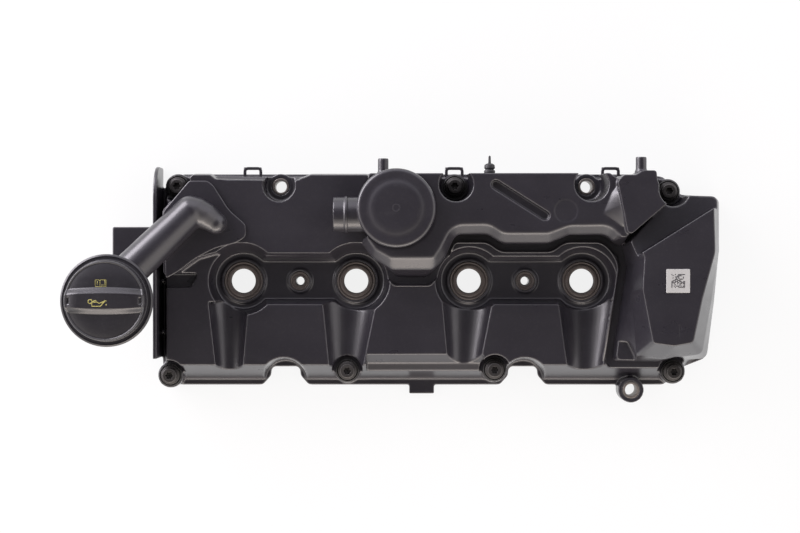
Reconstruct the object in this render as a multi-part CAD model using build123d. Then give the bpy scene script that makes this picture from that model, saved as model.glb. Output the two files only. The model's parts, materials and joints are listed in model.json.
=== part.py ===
# Engine valve cover of a four-cylinder diesel engine, with oil filler, separator and pressure regulator.
# Millimetres. X runs along the engine, Y to the rear, Z up. Z = 0 is the cylinder head's gasket plane,
# and the origin is the middle of the injector row.
import os
from math import hypot

from build123d import *

# Injector row
cylinder_pitch = 88.0
injector_hole_radius = 9.4
injector_seal_radius = 15.0
injector_seal_height = 5.0
seal_lip_height = 1.0
injector_tube_wall = 2.4
injector_tube_radius = 12.6
clamp_hole_radius = 3.3
clamp_seal_radius = 7.5
clamp_seal_bore = 3.7
clamp_seal_height = 4.0
clamp_boss_wall = 2.0

# Heights above the gasket plane
flange_thickness = 5.0
valley_height = 20.0
seal_seat_height = 18.0
weld_height = 28.0
plateau_height = 34.0
deck_height = 44.0
reservoir_height = 64.0
ridge_height = 50.0
nipple_block_height = 72.0
label_block_height = 74.0

# Walls and drafts
wall = 2.6
deck_draft = 1.5
nipple_block_draft = 0.8

# Outlines as corners (x, y, corner radius), anticlockwise seen from above
front_edge = -82.2
rear_edge = 84.0
left_edge = -197.2
flange_left = [(left_edge, 72, 5), (left_edge, -66, 5), (-184, front_edge, 6)]
flange_right = [(198, front_edge, 5), (214, -68, 5), (232, -61, 7), (237.5, -17.7, 30),
                (241.5, 24, 12), (241, 66, 5), (212, 68, 4), (198, rear_edge - 2, 5),
                (186, rear_edge, 5), (-182, rear_edge, 5)]
body_foot = [(-194.5, -77.5, 5), (205, -77.5, 5), (218, -64, 5), (230, -57, 8), (235, -17.7, 30),
             (239, 24, 12), (239, 64, 5), (211, 66, 4), (196, 80, 5), (-180, 82, 6), (-194.5, 66, 6)]
body_top = [(-191, -65.2, 4), (196, -65.2, 5), (212, -60, 5), (226, -53, 8), (233, -17.7, 30),
            (237.5, 24, 12), (237.5, 63, 5), (210, 65, 4), (195, 79, 5), (-178, 81, 6), (-191, 64, 6)]
deck_top = [(-192, 3, 3), (-180, 8, 4), (-166, 18, 5), (-152, 22, 6), (-34.5, 20, 3), (-34.5, 82, 1),
            (-78.5, 82, 4), (-90.6, 77.3, 4), (-152, 78.5, 4), (-156, 82, 3), (-170, 82, 4),
            (-193, 54, 4)]
reservoir_foot = [(-34.2, 27, 2), (-24, 15, 6), (-12, 2.5, 6), (11, 2.5, 6), (19, 11, 6), (28, 36, 15),
                  (60, 36, 15), (70, 28.5, 12), (106, 28.5, 12), (116, 36, 15), (149, 36, 16),
                  (164, 22, 5), (170, 70, 3), (150, 82.4, 3), (-34.2, 82.4, 2)]
reservoir_top = [(-34.2, 33, 2), (-28.5, 24.4, 5), (-16.8, 18.2, 3), (16, 18.2, 3), (21, 26, 6),
                 (30, 43.2, 14), (58, 43.6, 14), (69, 36.7, 12), (103, 36.7, 12), (119, 42.6, 15),
                 (150, 43, 15), (163.4, 29, 4), (170, 68, 3), (150, 82.4, 3), (-34.2, 82.2, 2)]
nipple_block_top = [(163, 33.5, 3), (196, 62, 3), (187.5, 70.4, 5), (185, 77, 3), (184.4, 84, 2),
                    (173.5, 84, 4), (168.7, 80.6, 4), (160, 81, 4), (154.6, 76, 4), (157.5, 62, 12)]
label_block_foot = [(154, -62.5, 4), (188, -63, 5), (229, -60.5, 6), (234.5, -17.7, 30), (238.5, 24, 10),
                    (238.5, 65, 5), (204, 67, 3), (195, 63.5, 3), (163, 27, 3), (166, 12, 8),
                    (163, -9, 6)]
label_block_ridge = [(172, -57, 2), (192, -60, 5), (222, -56, 6), (229, -16, 30), (235, 23.5, 10),
                     (234, 65, 5), (203, 66, 3), (195.2, 62.5, 3), (165.5, 30, 3), (170, 15, 8),
                     (167.5, -9, 6)]
label_block_top = [(181.5, -46.7, 3), (197.6, -48.8, 10), (211.7, -46.3, 4), (218.5, -13.6, 30),
                   (228.3, 22, 10), (227.2, 64.5, 4), (201, 65, 3), (195.5, 61.5, 3), (167, 31.5, 3),
                   (175, 19, 8), (173.5, -6, 12)]

# The label block's top falls to the rear behind a slanted crease
crease = (180.4, 25.2)
crease_end = (225.7, 53.1)
crease_fall = 9.0

# Ramp from the reservoir up to the nipple block, and a flat pocket and a slit in the label block
ramp_foot = [(137, 48, 3), (160, 38, 3), (170, 58, 3), (156, 77, 4), (147, 66, 6)]
ramp_top = [(158.5, 58, 1), (163, 45, 1), (172, 58, 1), (162, 74, 1), (158, 68, 1)]
pocket = [(153.5, -61.5, 2), (172.5, -63.3, 2), (172.2, -57.6, 3), (166.7, -46.5, 3), (157.4, -46.5, 2)]
pocket_floor = 33.0
slit_x = 201.9
slit_y = (-42.5, -33.0)
slit_width = 1.3
slit_depth = 1.6

# Low corner of the body beside the filler neck
corner_recess = [(-199, -5, 1), (-172, -5, 3), (-166, 6, 2), (-199, 6, 1)]
corner_recess_depth = 5.0

# Front wall
arch_centres = [-100.0, 87.2]
arch_half_width = 11.1
arch_top = -67.8
arch_flare = 7.0
arch_wall_radius = 15.8
arch_wall_top_radius = 19.5
step_start = -36.0
step_end = 55.0
step_profile = [(-56.7, plateau_height), (-64.0, 24.0), (-70.5, 22.0), (-77.4, flange_thickness)]
lift_tab_width = 19.6
lift_tab_depth = 7.0
lift_tab_x = 7.3

# Valleys round the injectors: each pair of wells shares one valley
well_floor_radius = 22.0
well_rim_radius = 29.5
valley_front = -14.5
valley_rear = 15.5
valley_draft = 6.0

# Scoops from the wells to the front wall: x and half width at the well, x and half width at the front
scoops = [(-143.0, 15.5, -142.0, 9.0), (-49.2, 21.0, -52.4, 11.0),
          (42.4, 19.6, 39.0, 10.0), (134.7, 22.0, 133.4, 11.5)]
scoop_start = -16.0
scoop_end = -80.0
scoop_depth = 13.5
scoop_end_depth = 8.5

# Lines that part the lower moulding
middle_half_width = 21.0
start_line = -175.0
end_line = 158.0
ear_half_width = 12.5

# Trench between the weld rim of the reservoir and the body
trench_width = 6.0
deck_end = -34.4

# Bolts: (x, y), with captive bolts in most and bare sleeves in three
captive_points = [(-189.2, -73.6), (-50.9, -70.0), (63.9, -69.3), (203.3, -70.7),
                  (-183.3, 73.6), (32.9, 73.6), (199.5, 69.8)]
bare_points = [(171.0, -85.4), (-103.1, 73.7), (136.1, 73.7)]
boss_radius = 10.0
boss_height = 20.0
bolt_pocket_radius = 11.6
bolt_pocket_top_radius = 13.4
bare_bore_radius = 4.7
bare_sleeve_radius = 6.6
captive_bore_radius = 3.4
captive_sleeve_radius = 4.9
sleeve_clearance = 0.05
bolt_radius = 3.0
bolt_head_radius = 5.5
bolt_head_height = 6.0
bolt_flange_radius = 7.2
bolt_flange_thickness = 1.6
bolt_drive_radius = 2.9
bolt_drive_depth = 3.5
bolt_length = 20.0
grommet_radius = 9.0
grommet_height = 3.0
grommet_bore = 3.4

# End plate and box tab at the left end
end_plate_thickness = 3.0
end_plate_height = 45.0
end_plate_front = -60.0
end_plate_rear = 89.0
end_plate_corner = 24.0
end_rib_places = [-40.0, 0.0, 40.0]
box_tab_length = 34.0
box_tab_front = 14.7
box_tab_rear = 42.1
box_tab_bottom = 6.0
box_tab_top = 25.0

# Loops at the rear edge
loop_centres = [-125.0, 32.7, 155.0]
loop_width = 14.5
loop_reach = 5.0
loop_section = 1.3
loop_height = 18.0
loop_root = 78.0

# Gasket inside the bolts
gasket_outline = [(-176, -57, 8), (214, -57, 8), (222, -45, 12), (227, 22, 14), (227, 56, 6),
                  (186, 58, 10), (-178, 58, 10), (-186, 48, 8), (-186, -48, 8)]
gasket_width = 4.0
gasket_height = 3.4
gasket_stand = 1.0
gasket_clearance = 0.15
opening_inset = 8.0

# Crankcase pressure regulator
regulator_x = -12.6
regulator_y = 55.3
hose_stub_y = 51.0
regulator_seat_gap = 0.3
regulator_radius = 29.3
regulator_neck_radius = 27.9
regulator_wall = 2.4
regulator_floor = 2.4
regulator_shoulder = deck_height + 28.0
regulator_rim = regulator_shoulder + 6.0
lid_radius = 29.9
lid_wall = 1.7
lid_top = regulator_rim + 4.5
lid_plateau_radius = 20.8
lid_plateau_rise = 1.8
lid_fit = 0.15
seat_tube_radius = 11.5
seat_tube_wall = 2.0
seat_tube_top = deck_height + 16.0
seat_tube_gap = 2.0
valve_travel = 2.8
valve_plate_radius = 16.0
valve_plate_thickness = 2.0
valve_hub_radius = 8.0
valve_hub_height = 4.0
spring_radius = 13.6
spring_wire = 0.6
spring_turns = 4
diaphragm_thickness = 0.9
diaphragm_edge_gap = 0.4
diaphragm_roll_inset = 1.0
hose_stub_radius = 13.25
hose_stub_wall = 2.2
hose_stub_clearance = 1.15
hose_stub_height = deck_height + hose_stub_radius + hose_stub_clearance
hose_stub_end = -60.5
hose_bead_x = -50.9
hose_bead_rise = 0.8
hose_bead_width = 2.0

# Nipples at the rear: x, collar end y, height
nipples = [(-22.8, 84.0, 36.0), (174.5, 84.6, 56.0)]
nipple_end = 95.0
nipple_collar_radius = 5.0
nipple_collar_length = 4.0
nipple_radius = 4.2
nipple_bore = 2.6

# Dents in the reservoir's top
slot_start = (60.2, 75.4)
slot_end = (103.5, 48.0)
slot_width = 7.0
slot_depth = 4.5
gate_mark = (116.4, 53.4)
gate_mark_radius = 9.0
gate_mark_depth = 0.5

# Separator baffle inside the reservoir
baffle_x = (24.0, 146.0)
baffle_y = (45.0, 57.0)
baffle_thickness = 2.0
baffle_fin_height = 24.0
baffle_fin_pitch = 24.0
baffle_fins = 6
gas_window = (18.0, 9.0)
gas_window_x = [6.0, 162.0]
gas_window_y = 50.0

# Oil filler neck
neck_flange = [(-190, 2, 3), (-180, 7.5, 5), (-167, 17.5, 5), (-152, 25.4, 6), (-136, 29.3, 4),
               (-128.4, 34, 4), (-128.4, 43.5, 4), (-141.3, 54.6, 6), (-153.6, 74, 4),
               (-158.2, 77.3, 3), (-172, 77.3, 3), (-192.5, 53.1, 4)]
neck_flange_thickness = 2.5
neck_wall = 2.4
neck_start = (-165.0, 57.5)
neck_start_top = 68.0
neck_start_width = 25.0
neck_end = (-228.0, -5.0)
neck_end_top = 88.0
neck_rounding = 10.0
neck_end_bottom = 60.0
neck_end_width = 28.0
neck_side_slope = 6.0
lobe_foot = [(-168, 36, 5), (-150, 28.5, 5), (-134.5, 33, 5), (-134.5, 42, 5), (-157, 66, 6),
             (-170, 66, 5)]
lobe_top = [(-166, 44, 5), (-150, 34, 4), (-141, 36, 5), (-140, 42, 4), (-158, 60, 6), (-168, 60, 5)]
lobe_height = 63.0
cap_x = -227.7
cap_y = -14.1
collar_radius = 25.5
collar_bore = 21.0
collar_top = 94.0
collar_bottom = 62.0
collar_lip = 4.0
collar_gap = 0.5

# Oil filler cap
cap_flange_radius = 34.5
cap_flange_thickness = 3.4
cap_body_radius = 29.4
cap_crown_radius = 28.2
cap_crown_height = 15.0
cap_dome_fall = 4.5
grip_height = 3.4
grip_half_width = 7.4
grip_waist = 1.6
cap_plug_radius = 17.5
cap_plug_length = 14.0
cap_plug_wall = 2.4
cap_lug_reach = 2.6
cap_lug_height = 3.0
cap_lug_width = 9.0
cap_seal_inner = 18.2
cap_seal_outer = 24.5
cap_seal_thickness = 1.8

# Harness peg at the rear
peg_x = 60.3
peg_height = 20.0
peg_start = 84.0
peg_end = 95.0
peg_core_radius = 1.6
peg_fin_radius = 4.2
peg_fin_thickness = 0.9
peg_fins = 3
peg_pin_radius = 0.8
peg_pin_length = 3.0
peg_fin_step = 0.8
peg_boss_radius = 4.6
peg_boss_root = 76.0

injector_x = [(place - 1.5) * cylinder_pitch for place in range(4)]
clamp_x = [-cylinder_pitch, cylinder_pitch]


def inset(points, distance):
    # Every side moved inwards by the distance, with the corner arcs kept parallel
    moved = []
    for here, (x, y, radius) in enumerate(points):
        before, after = points[here - 1], points[(here + 1) % len(points)]
        run_in = Vector(x - before[0], y - before[1]).normalized()
        run_out = Vector(after[0] - x, after[1] - y).normalized()
        side_in, side_out = Vector(-run_in.Y, run_in.X), Vector(-run_out.Y, run_out.X)
        shift = (side_in + side_out) * (distance / (1 + side_in.dot(side_out)))
        turn = run_in.cross(run_out).Z
        bend = radius - distance if turn > 0 else radius + distance
        moved.append((x + shift.X, y + shift.Y, max(bend, 0.4)))
    return moved


def outline(points, height):
    # Flat face with straight sides and arc corners
    if all(radius == 0 for x, y, radius in points):
        return Face(Wire.make_polygon([(x, y, height) for x, y, radius in points]))
    corners = []
    for here, (x, y, radius) in enumerate(points):
        before, after = points[here - 1], points[(here + 1) % len(points)]
        run_in, run_out = Vector(x - before[0], y - before[1]), Vector(after[0] - x, after[1] - y)
        shorter = min(run_in.length, run_out.length)
        run_in, run_out = run_in.normalized(), run_out.normalized()
        half_turn_tan = abs(run_in.cross(run_out).Z) / (1 + run_in.dot(run_out))
        cut = min(radius * half_turn_tan, 0.48 * shorter)
        corner = Vector(x, y)
        bisector = (run_out - run_in).normalized()
        bend = cut / half_turn_tan
        middle = corner + bisector * (hypot(bend, cut) - bend)
        corners.append((corner - run_in * cut, middle, corner + run_out * cut))
    edges = []
    for here, (start, middle, end) in enumerate(corners):
        edges.append(Edge.make_line(corners[here - 1][2], start))
        edges.append(Edge.make_three_point_arc(start, middle, end))
    return Face(Wire(edges)).moved(Location((0, 0, height)))


def prism(points, bottom, top):
    return extrude(outline(points, bottom), amount=top - bottom, dir=(0, 0, 1))


def tapered(sections, thickness=0.0, drop=0.0):
    # Solid through outlines at rising heights. For a hollow, a thickness pulls in its sides and its top
    # and leaves its corners sharp, and a drop lowers its foot.
    wires = []
    for place, (points, height) in enumerate(sections):
        if place == 0:
            height -= drop
        if place == len(sections) - 1:
            height -= thickness
        if thickness:
            points = [(x, y, 0) for x, y, radius in inset(points, thickness)]
        wires.append(outline(points, height).outer_wire())
    return Solid.make_loft(wires, ruled=True)


def carved(form, cuts):
    # The cuts taken away one after another
    for cut in cuts:
        form = form - cut
    return form


def upright(x, y, radius, bottom, top, top_radius=None):
    # Cylinder, or cone if the top radius differs
    place = Location((x, y, bottom))
    if top_radius is None or top_radius == radius:
        return Solid.make_cylinder(radius, top - bottom).moved(place)
    return Solid.make_cone(radius, top_radius, top - bottom).moved(place)


def box(x, y, z):
    # Box from three (low, high) pairs
    return Solid.make_box(x[1] - x[0], y[1] - y[0], z[1] - z[0]).moved(Location((x[0], y[0], z[0])))


def arch_corners(x):
    left, right = x - arch_half_width, x + arch_half_width
    shoulder = arch_top - arch_flare
    return [(left - arch_flare, front_edge, 5), (left - 0.6, shoulder, 5), (left, arch_top, 10.4),
            (right, arch_top, 10.4), (right + 0.6, shoulder, 5), (right + arch_flare, front_edge, 5)]


def flange_outline():
    corners = list(flange_left)
    for x in arch_centres:
        corners += arch_corners(x)
    return corners + flange_right


def well_cuts(grow):
    # Conical wells joined in pairs by a drafted valley
    floor, top = valley_height - grow, deck_height + 1
    slope = (well_rim_radius - well_floor_radius) / (deck_height - valley_height)
    low_radius = well_floor_radius + slope * (floor - valley_height) + grow
    high_radius = well_floor_radius + slope * (top - valley_height) + grow
    cuts = [upright(x, 0, low_radius, floor, top, high_radius) for x in injector_x]
    spread = valley_draft / (deck_height - valley_height)
    for left, right in (injector_x[:2], injector_x[2:]):
        sections = []
        for height in (floor, top):
            side = spread * (height - valley_height) + grow
            front, rear = valley_front - side, valley_rear + side
            corners = [(left, front, 1), (right, front, 1), (right, rear, 1), (left, rear, 1)]
            sections.append((corners, height))
        cuts.append(tapered(sections))
    return cuts


def scoop_cuts(grow):
    # Conical troughs that narrow towards the front wall, of the given width and depth at the plateau
    cuts = []
    for x, half_width, end_x, end_half_width in scoops:
        rings = []
        for y, centre, width, depth in ((scoop_start, x, half_width, scoop_depth),
                                        (scoop_end, end_x, end_half_width, scoop_end_depth)):
            radius = (width ** 2 + depth ** 2) / (2 * depth)
            rings.append((Vector(centre, y, plateau_height - depth + radius), radius + grow))
        (start, start_radius), (end, end_radius) = rings
        axis = Plane(origin=start, z_dir=end - start)
        cuts.append(Solid.make_cone(start_radius, end_radius, (end - start).length, axis))
    return cuts


def arch_cuts(grow):
    # Drafted notches in the front wall, over the arches of the flange
    bottom, top = -1, plateau_height + 1
    low, high = arch_wall_radius + grow, arch_wall_top_radius + grow
    centre = arch_top - arch_half_width
    outside = front_edge - wall
    cuts = []
    for x in arch_centres:
        cuts.append(upright(x, centre, low, bottom, top, high))
        sections = [([(x - side, outside, 1), (x + side, outside, 1), (x + side, centre, 1),
                      (x - side, centre, 1)], height) for side, height in ((low, bottom), (high, top))]
        cuts.append(tapered(sections))
    return cuts


def bolt_cuts(grow):
    # Pockets over the bolt bosses, widening upwards
    return [upright(x, y, bolt_pocket_radius + grow, boss_height - grow, label_block_height + 1,
                    bolt_pocket_top_radius + grow) for x, y in captive_points + bare_points]


def step_cut(grow):
    # Stepped slope in the middle of the front wall
    low = [(y + grow, z - grow) for y, z in step_profile]
    outside, above = front_edge - 2 * wall, plateau_height + 2
    corners = low + [(outside, low[-1][1]), (outside, above), (low[0][0], above)]
    face = Face(Wire.make_polygon([(step_start - grow, y, z) for y, z in corners]))
    return extrude(face, amount=step_end - step_start + 2 * grow, dir=(1, 0, 0))


def recess_cuts(grow):
    # Weld recess for the upper moulding, a trench wider than its foot
    cuts = []
    for foot in (reservoir_foot, label_block_foot, inset(nipple_block_top, -nipple_block_draft)):
        rim = [(max(x, deck_end - grow), y, bend) for x, y, bend in inset(foot, -trench_width - grow)]
        cuts.append(prism(rim, weld_height - grow, deck_height + 1))
    return cuts


def crease_cut(grow):
    # Everything above the sloping rear part of the label block's top
    start, end = Vector(*crease), Vector(*crease_end)
    run = (end - start).normalized()
    plane = Plane(origin=(start.X, start.Y, label_block_height - grow), x_dir=tuple(run), z_dir=(0, 0, 1))
    plane = plane.rotated((-crease_fall, 0, 0))
    size = 2 * cylinder_pitch
    return Solid.make_box(2 * size, size, size, plane).moved(Location(tuple(run * -size)))


def regulator_cut(grow):
    radius = regulator_radius + regulator_seat_gap + grow
    return upright(regulator_x, regulator_y, radius, deck_height - grow, label_block_height + 1)


def slot_cut(grow):
    # Slanted groove with round ends in the reservoir's top
    start, end = Vector(*slot_start), Vector(*slot_end)
    centre, run = (start + end) * 0.5, end - start
    plane = Plane(origin=(centre.X, centre.Y, reservoir_height - slot_depth - grow),
                  x_dir=(run.X, run.Y, 0), z_dir=(0, 0, 1))
    slot = SlotOverall(run.length + 2 * grow, slot_width + 2 * grow)
    return extrude(plane * slot, amount=slot_depth + 2 * grow + 1)


def body_form(thickness):
    # Outside of the lower moulding for a thickness of zero, and its hollow for the wall thickness
    drop = flange_thickness + 1 if thickness else 0
    form = tapered([(body_foot, flange_thickness), (body_top, plateau_height)], thickness, drop)
    deck_drop = weld_height - flange_thickness if thickness else 0
    deck_foot = inset(deck_top, -deck_draft)
    form = form + tapered([(deck_foot, weld_height), (deck_top, deck_height)], thickness, deck_drop)
    cuts = well_cuts(thickness) + scoop_cuts(thickness) + arch_cuts(thickness) + bolt_cuts(thickness)
    cuts.append(prism(inset(corner_recess, -thickness), plateau_height - corner_recess_depth - thickness,
                      plateau_height + 1))
    return carved(form, cuts + recess_cuts(thickness) + [step_cut(thickness)])


def shell_form(thickness):
    # Outside or hollow of the upper moulding: reservoir, nipple block and label block
    drop = 1 if thickness else 0
    nipple_block_foot = inset(nipple_block_top, -nipple_block_draft)
    form = tapered([(reservoir_foot, weld_height), (reservoir_top, reservoir_height)], thickness, drop)
    form = form + tapered([(nipple_block_foot, weld_height), (nipple_block_top, nipple_block_height)],
                          thickness, drop)
    form = form + tapered([(ramp_foot, reservoir_height - wall), (ramp_top, nipple_block_height - wall)],
                          thickness, drop)
    block = tapered([(label_block_foot, weld_height), (label_block_ridge, ridge_height),
                     (label_block_top, label_block_height)], thickness, drop)
    dent = prism(inset(pocket, -thickness), pocket_floor - thickness, label_block_height)
    form = form + carved(block, [crease_cut(thickness), dent])
    return carved(form, bolt_cuts(thickness) + [regulator_cut(thickness), slot_cut(thickness)])


def tube(x, y, outer, inner, bottom, top):
    return upright(x, y, outer, bottom, top) - upright(x, y, inner, bottom - 1, top + 1)


def along_y(x, z, radius, start, end):
    # Cylinder that points to the rear
    return Solid.make_cylinder(radius, end - start, Plane(origin=(x, start, z), z_dir=(0, 1, 0)))


def along_x(y, z, radius, start, end):
    return Solid.make_cylinder(radius, end - start, Plane(origin=(start, y, z), z_dir=(1, 0, 0)))


def revolved(x, y, profile):
    # Turned piece from (radius, height) corners
    face = Face(Wire.make_polygon([(radius, 0, height) for radius, height in profile]))
    return revolve(face, Axis.Z).moved(Location((x, y, 0)))


# Lower moulding
def cover_body():
    solid = body_form(0) - body_form(wall)
    opening = inset(gasket_outline, opening_inset)
    solid = solid + (prism(flange_outline(), 0, flange_thickness) - prism(opening, -1, flange_thickness + 1))

    # Bosses for the bolts, tubes for the injectors and their clamp bolts
    added = [upright(x, y, boss_radius, 0, boss_height) for x, y in captive_points + bare_points]
    tube_top = valley_height + 2
    added += [upright(x, 0, injector_seal_radius + injector_tube_wall, 0, tube_top) for x in injector_x]
    added += [upright(x, 0, clamp_seal_radius + clamp_boss_wall, 0, tube_top) for x in clamp_x]

    # End plate with its ribs, box tab, lifting tab, loops and peg boss
    corner_y, corner_z = end_plate_rear - end_plate_corner, end_plate_height - end_plate_corner
    slack = end_plate_corner * 0.5 ** 0.5
    rim = [(left_edge, corner_y, end_plate_height), (left_edge, end_plate_front, end_plate_height),
           (left_edge, end_plate_front, 0), (left_edge, end_plate_rear, 0),
           (left_edge, end_plate_rear, corner_z)]
    bend = Edge.make_three_point_arc(rim[-1], (left_edge, corner_y + slack, corner_z + slack), rim[0])
    plate = Face(Wire([Edge.make_line(start, end) for start, end in zip(rim, rim[1:])] + [bend]))
    added.append(extrude(plate, amount=end_plate_thickness, dir=(-1, 0, 0)))
    rib_end = body_top[0][0] + wall / 2
    added += [box((left_edge, rib_end), (y - wall / 2, y + wall / 2), (0, valley_height))
              for y in end_rib_places]
    tab_end = left_edge - end_plate_thickness
    tab = box((tab_end - box_tab_length, tab_end), (box_tab_front, box_tab_rear),
              (box_tab_bottom, box_tab_top))
    tab = tab - box((tab_end - box_tab_length + wall, tab_end - wall),
                    (box_tab_front + wall, box_tab_rear - wall), (box_tab_bottom - 1, box_tab_top - wall))
    added.append(tab)
    added.append(box((lift_tab_x - lift_tab_width / 2, lift_tab_x + lift_tab_width / 2),
                     (front_edge - lift_tab_depth, front_edge), (0, flange_thickness)))
    for x in loop_centres:
        loop = box((x - loop_width / 2, x + loop_width / 2), (loop_root, rear_edge + loop_reach),
                   (loop_height, loop_height + loop_section))
        added.append(loop - box((x - loop_width / 2 + loop_section, x + loop_width / 2 - loop_section),
                                (rear_edge - 1, rear_edge + loop_reach - loop_section),
                                (loop_height - 1, loop_height + loop_section + 1)))
    added.append(along_y(peg_x, peg_height, peg_boss_radius, peg_boss_root, peg_start))
    solid = solid + added

    # Bores, seats and openings
    cuts = [upright(x, 0, injector_tube_radius, -1, tube_top + 1) for x in injector_x]
    cuts += [upright(x, 0, injector_seal_radius, seal_seat_height, tube_top + 1) for x in injector_x]
    cuts += [upright(x, 0, clamp_hole_radius, -1, tube_top + 1) for x in clamp_x]
    cuts += [upright(x, 0, clamp_seal_radius, seal_seat_height, tube_top + 1) for x in clamp_x]
    cuts += [upright(x, y, captive_sleeve_radius + sleeve_clearance, -1, boss_height + 1)
             for x, y in captive_points]
    cuts += [upright(x, y, bare_sleeve_radius + sleeve_clearance, -1, boss_height + 1)
             for x, y in bare_points]
    groove = prism(inset(gasket_outline, -gasket_clearance), -1, gasket_height - gasket_stand)
    groove = groove - prism(inset(gasket_outline, gasket_width + gasket_clearance), -2, gasket_height)
    cuts.append(groove)
    cuts.append(along_y(peg_x, peg_height, peg_core_radius + sleeve_clearance,
                        peg_boss_root + wall, peg_start + 1))
    fill_hole = inset(lobe_foot, neck_wall)
    cuts.append(prism(fill_hole, weld_height, deck_height + 1))
    cuts += [box((x - gas_window[0] / 2, x + gas_window[0] / 2), (gas_window_y - gas_window[1] / 2,
             gas_window_y + gas_window[1] / 2), (valley_height, weld_height + 1)) for x in gas_window_x]
    return solid - cuts


# Upper moulding with its rear nipples
def reservoir_shell():
    added, bores = [], []
    for x, collar_end, height in nipples:
        foot = collar_end - nipple_collar_length
        added.append(along_y(x, height, nipple_radius, foot, nipple_end))
        added.append(along_y(x, height, nipple_collar_radius, foot, collar_end))
        bores.append(along_y(x, height, nipple_bore, foot - 2 * wall, nipple_end + 1))
    mark = upright(*gate_mark, gate_mark_radius, reservoir_height - gate_mark_depth, reservoir_height + 1)
    slit = box((slit_x - slit_width / 2, slit_x + slit_width / 2), slit_y,
               (label_block_height - slit_depth, label_block_height + 1))
    return carved((shell_form(0) + added) - shell_form(wall), bores + [mark, slit])


def separator_baffle():
    base = box(baffle_x, baffle_y, (weld_height, weld_height + baffle_thickness))
    fins = []
    for place in range(baffle_fins):
        x = baffle_x[0] + place * baffle_fin_pitch
        fins.append(box((x, x + baffle_thickness), baffle_y, (weld_height, weld_height + baffle_fin_height)))
    return base + fins


# Crankcase pressure regulator
def regulator_housing():
    floor_bottom = deck_height + regulator_seat_gap
    floor_top = floor_bottom + regulator_floor
    bore = regulator_neck_radius - regulator_wall
    cup = upright(regulator_x, regulator_y, regulator_radius, floor_bottom, regulator_shoulder)
    cup = cup + upright(regulator_x, regulator_y, regulator_neck_radius, floor_bottom, regulator_rim)
    cup = cup + along_x(hose_stub_y, hose_stub_height, hose_stub_radius, hose_stub_end, regulator_x)
    cup = cup + along_x(hose_stub_y, hose_stub_height, hose_stub_radius + hose_bead_rise,
                        hose_bead_x - hose_bead_width / 2, hose_bead_x + hose_bead_width / 2)
    cup = cup - upright(regulator_x, regulator_y, bore, floor_top, regulator_rim + 1)
    cup = cup + upright(regulator_x, regulator_y, seat_tube_radius, floor_bottom, seat_tube_top)
    return cup - [upright(regulator_x, regulator_y, seat_tube_radius - seat_tube_wall, floor_bottom - 1,
                          seat_tube_top + 1),
                  along_x(hose_stub_y, hose_stub_height, hose_stub_radius - hose_stub_wall,
                          hose_stub_end - 1, regulator_x - seat_tube_radius - seat_tube_gap)]


def regulator_lid():
    skirt = regulator_neck_radius + lid_fit
    inside = lid_top - lid_wall
    bead_top = regulator_rim + diaphragm_thickness
    return revolved(regulator_x, regulator_y, [
        (0, inside + lid_plateau_rise), (lid_plateau_radius - lid_wall, inside + lid_plateau_rise),
        (lid_plateau_radius - lid_wall, inside), (skirt - 2 * lid_wall, inside),
        (skirt - 2 * lid_wall, bead_top),
        (skirt, bead_top), (skirt, regulator_shoulder + regulator_seat_gap),
        (lid_radius, regulator_shoulder + regulator_seat_gap), (lid_radius, lid_top - lid_wall),
        (lid_radius - lid_wall, lid_top), (lid_plateau_radius + lid_plateau_rise / 2, lid_top),
        (lid_plateau_radius, lid_top + lid_plateau_rise), (0, lid_top + lid_plateau_rise)])


def regulator_valve():
    plate_bottom = seat_tube_top + valve_travel + regulator_seat_gap
    plate_top = plate_bottom + valve_plate_thickness
    return upright(regulator_x, regulator_y, valve_plate_radius, plate_bottom, plate_top) + upright(
        regulator_x, regulator_y, valve_hub_radius, plate_bottom, plate_top + valve_hub_height)


def regulator_diaphragm():
    hub_top = seat_tube_top + valve_travel + regulator_seat_gap + valve_plate_thickness + valve_hub_height
    bead = regulator_neck_radius - diaphragm_edge_gap
    roll = valve_plate_radius - diaphragm_roll_inset
    rise = regulator_rim - hub_top
    return revolved(regulator_x, regulator_y, [
        (0, hub_top), (roll, hub_top), (roll + rise, regulator_rim), (bead, regulator_rim),
        (bead, regulator_rim + diaphragm_thickness), (roll + rise - diaphragm_thickness / 2,
                                                      regulator_rim + diaphragm_thickness),
        (roll - diaphragm_thickness / 2, hub_top + diaphragm_thickness), (0, hub_top + diaphragm_thickness)])


def regulator_spring():
    # Square-wire coil between the housing floor and the valve plate
    bottom = deck_height + regulator_seat_gap + regulator_floor
    top = seat_tube_top + valve_travel + regulator_seat_gap
    rise = top - bottom - 2 * spring_wire
    coil = Edge.make_helix(rise / spring_turns, rise, spring_radius).moved(
        Location((regulator_x, regulator_y, bottom + spring_wire)))
    start = Plane(origin=coil @ 0, z_dir=coil % 0)
    return sweep(start * Rectangle(2 * spring_wire, 2 * spring_wire), path=coil, is_frenet=True)


# Oil filler neck
def neck_duct(thickness):
    start, end = Vector(*neck_start), Vector(*neck_end)
    run = (end - start).normalized()
    across = Vector(-run.Y, run.X)
    wires = []
    ends = ((start + run * thickness, neck_start_width, deck_height, neck_start_top),
            (end, neck_end_width, neck_end_bottom, neck_end_top))
    for point, width, bottom, top in ends:
        half = width / 2
        corners = [(-half - neck_side_slope, bottom, 3), (half + neck_side_slope, bottom, 3),
                   (half, top, neck_rounding), (-half, top, neck_rounding)]
        face = outline(inset(corners, thickness), 0)
        plane = Plane(origin=(point.X, point.Y, 0), x_dir=tuple(across), z_dir=tuple(run))
        wires.append((plane * face).outer_wire())
    return Solid.make_loft(wires, ruled=True)


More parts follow.
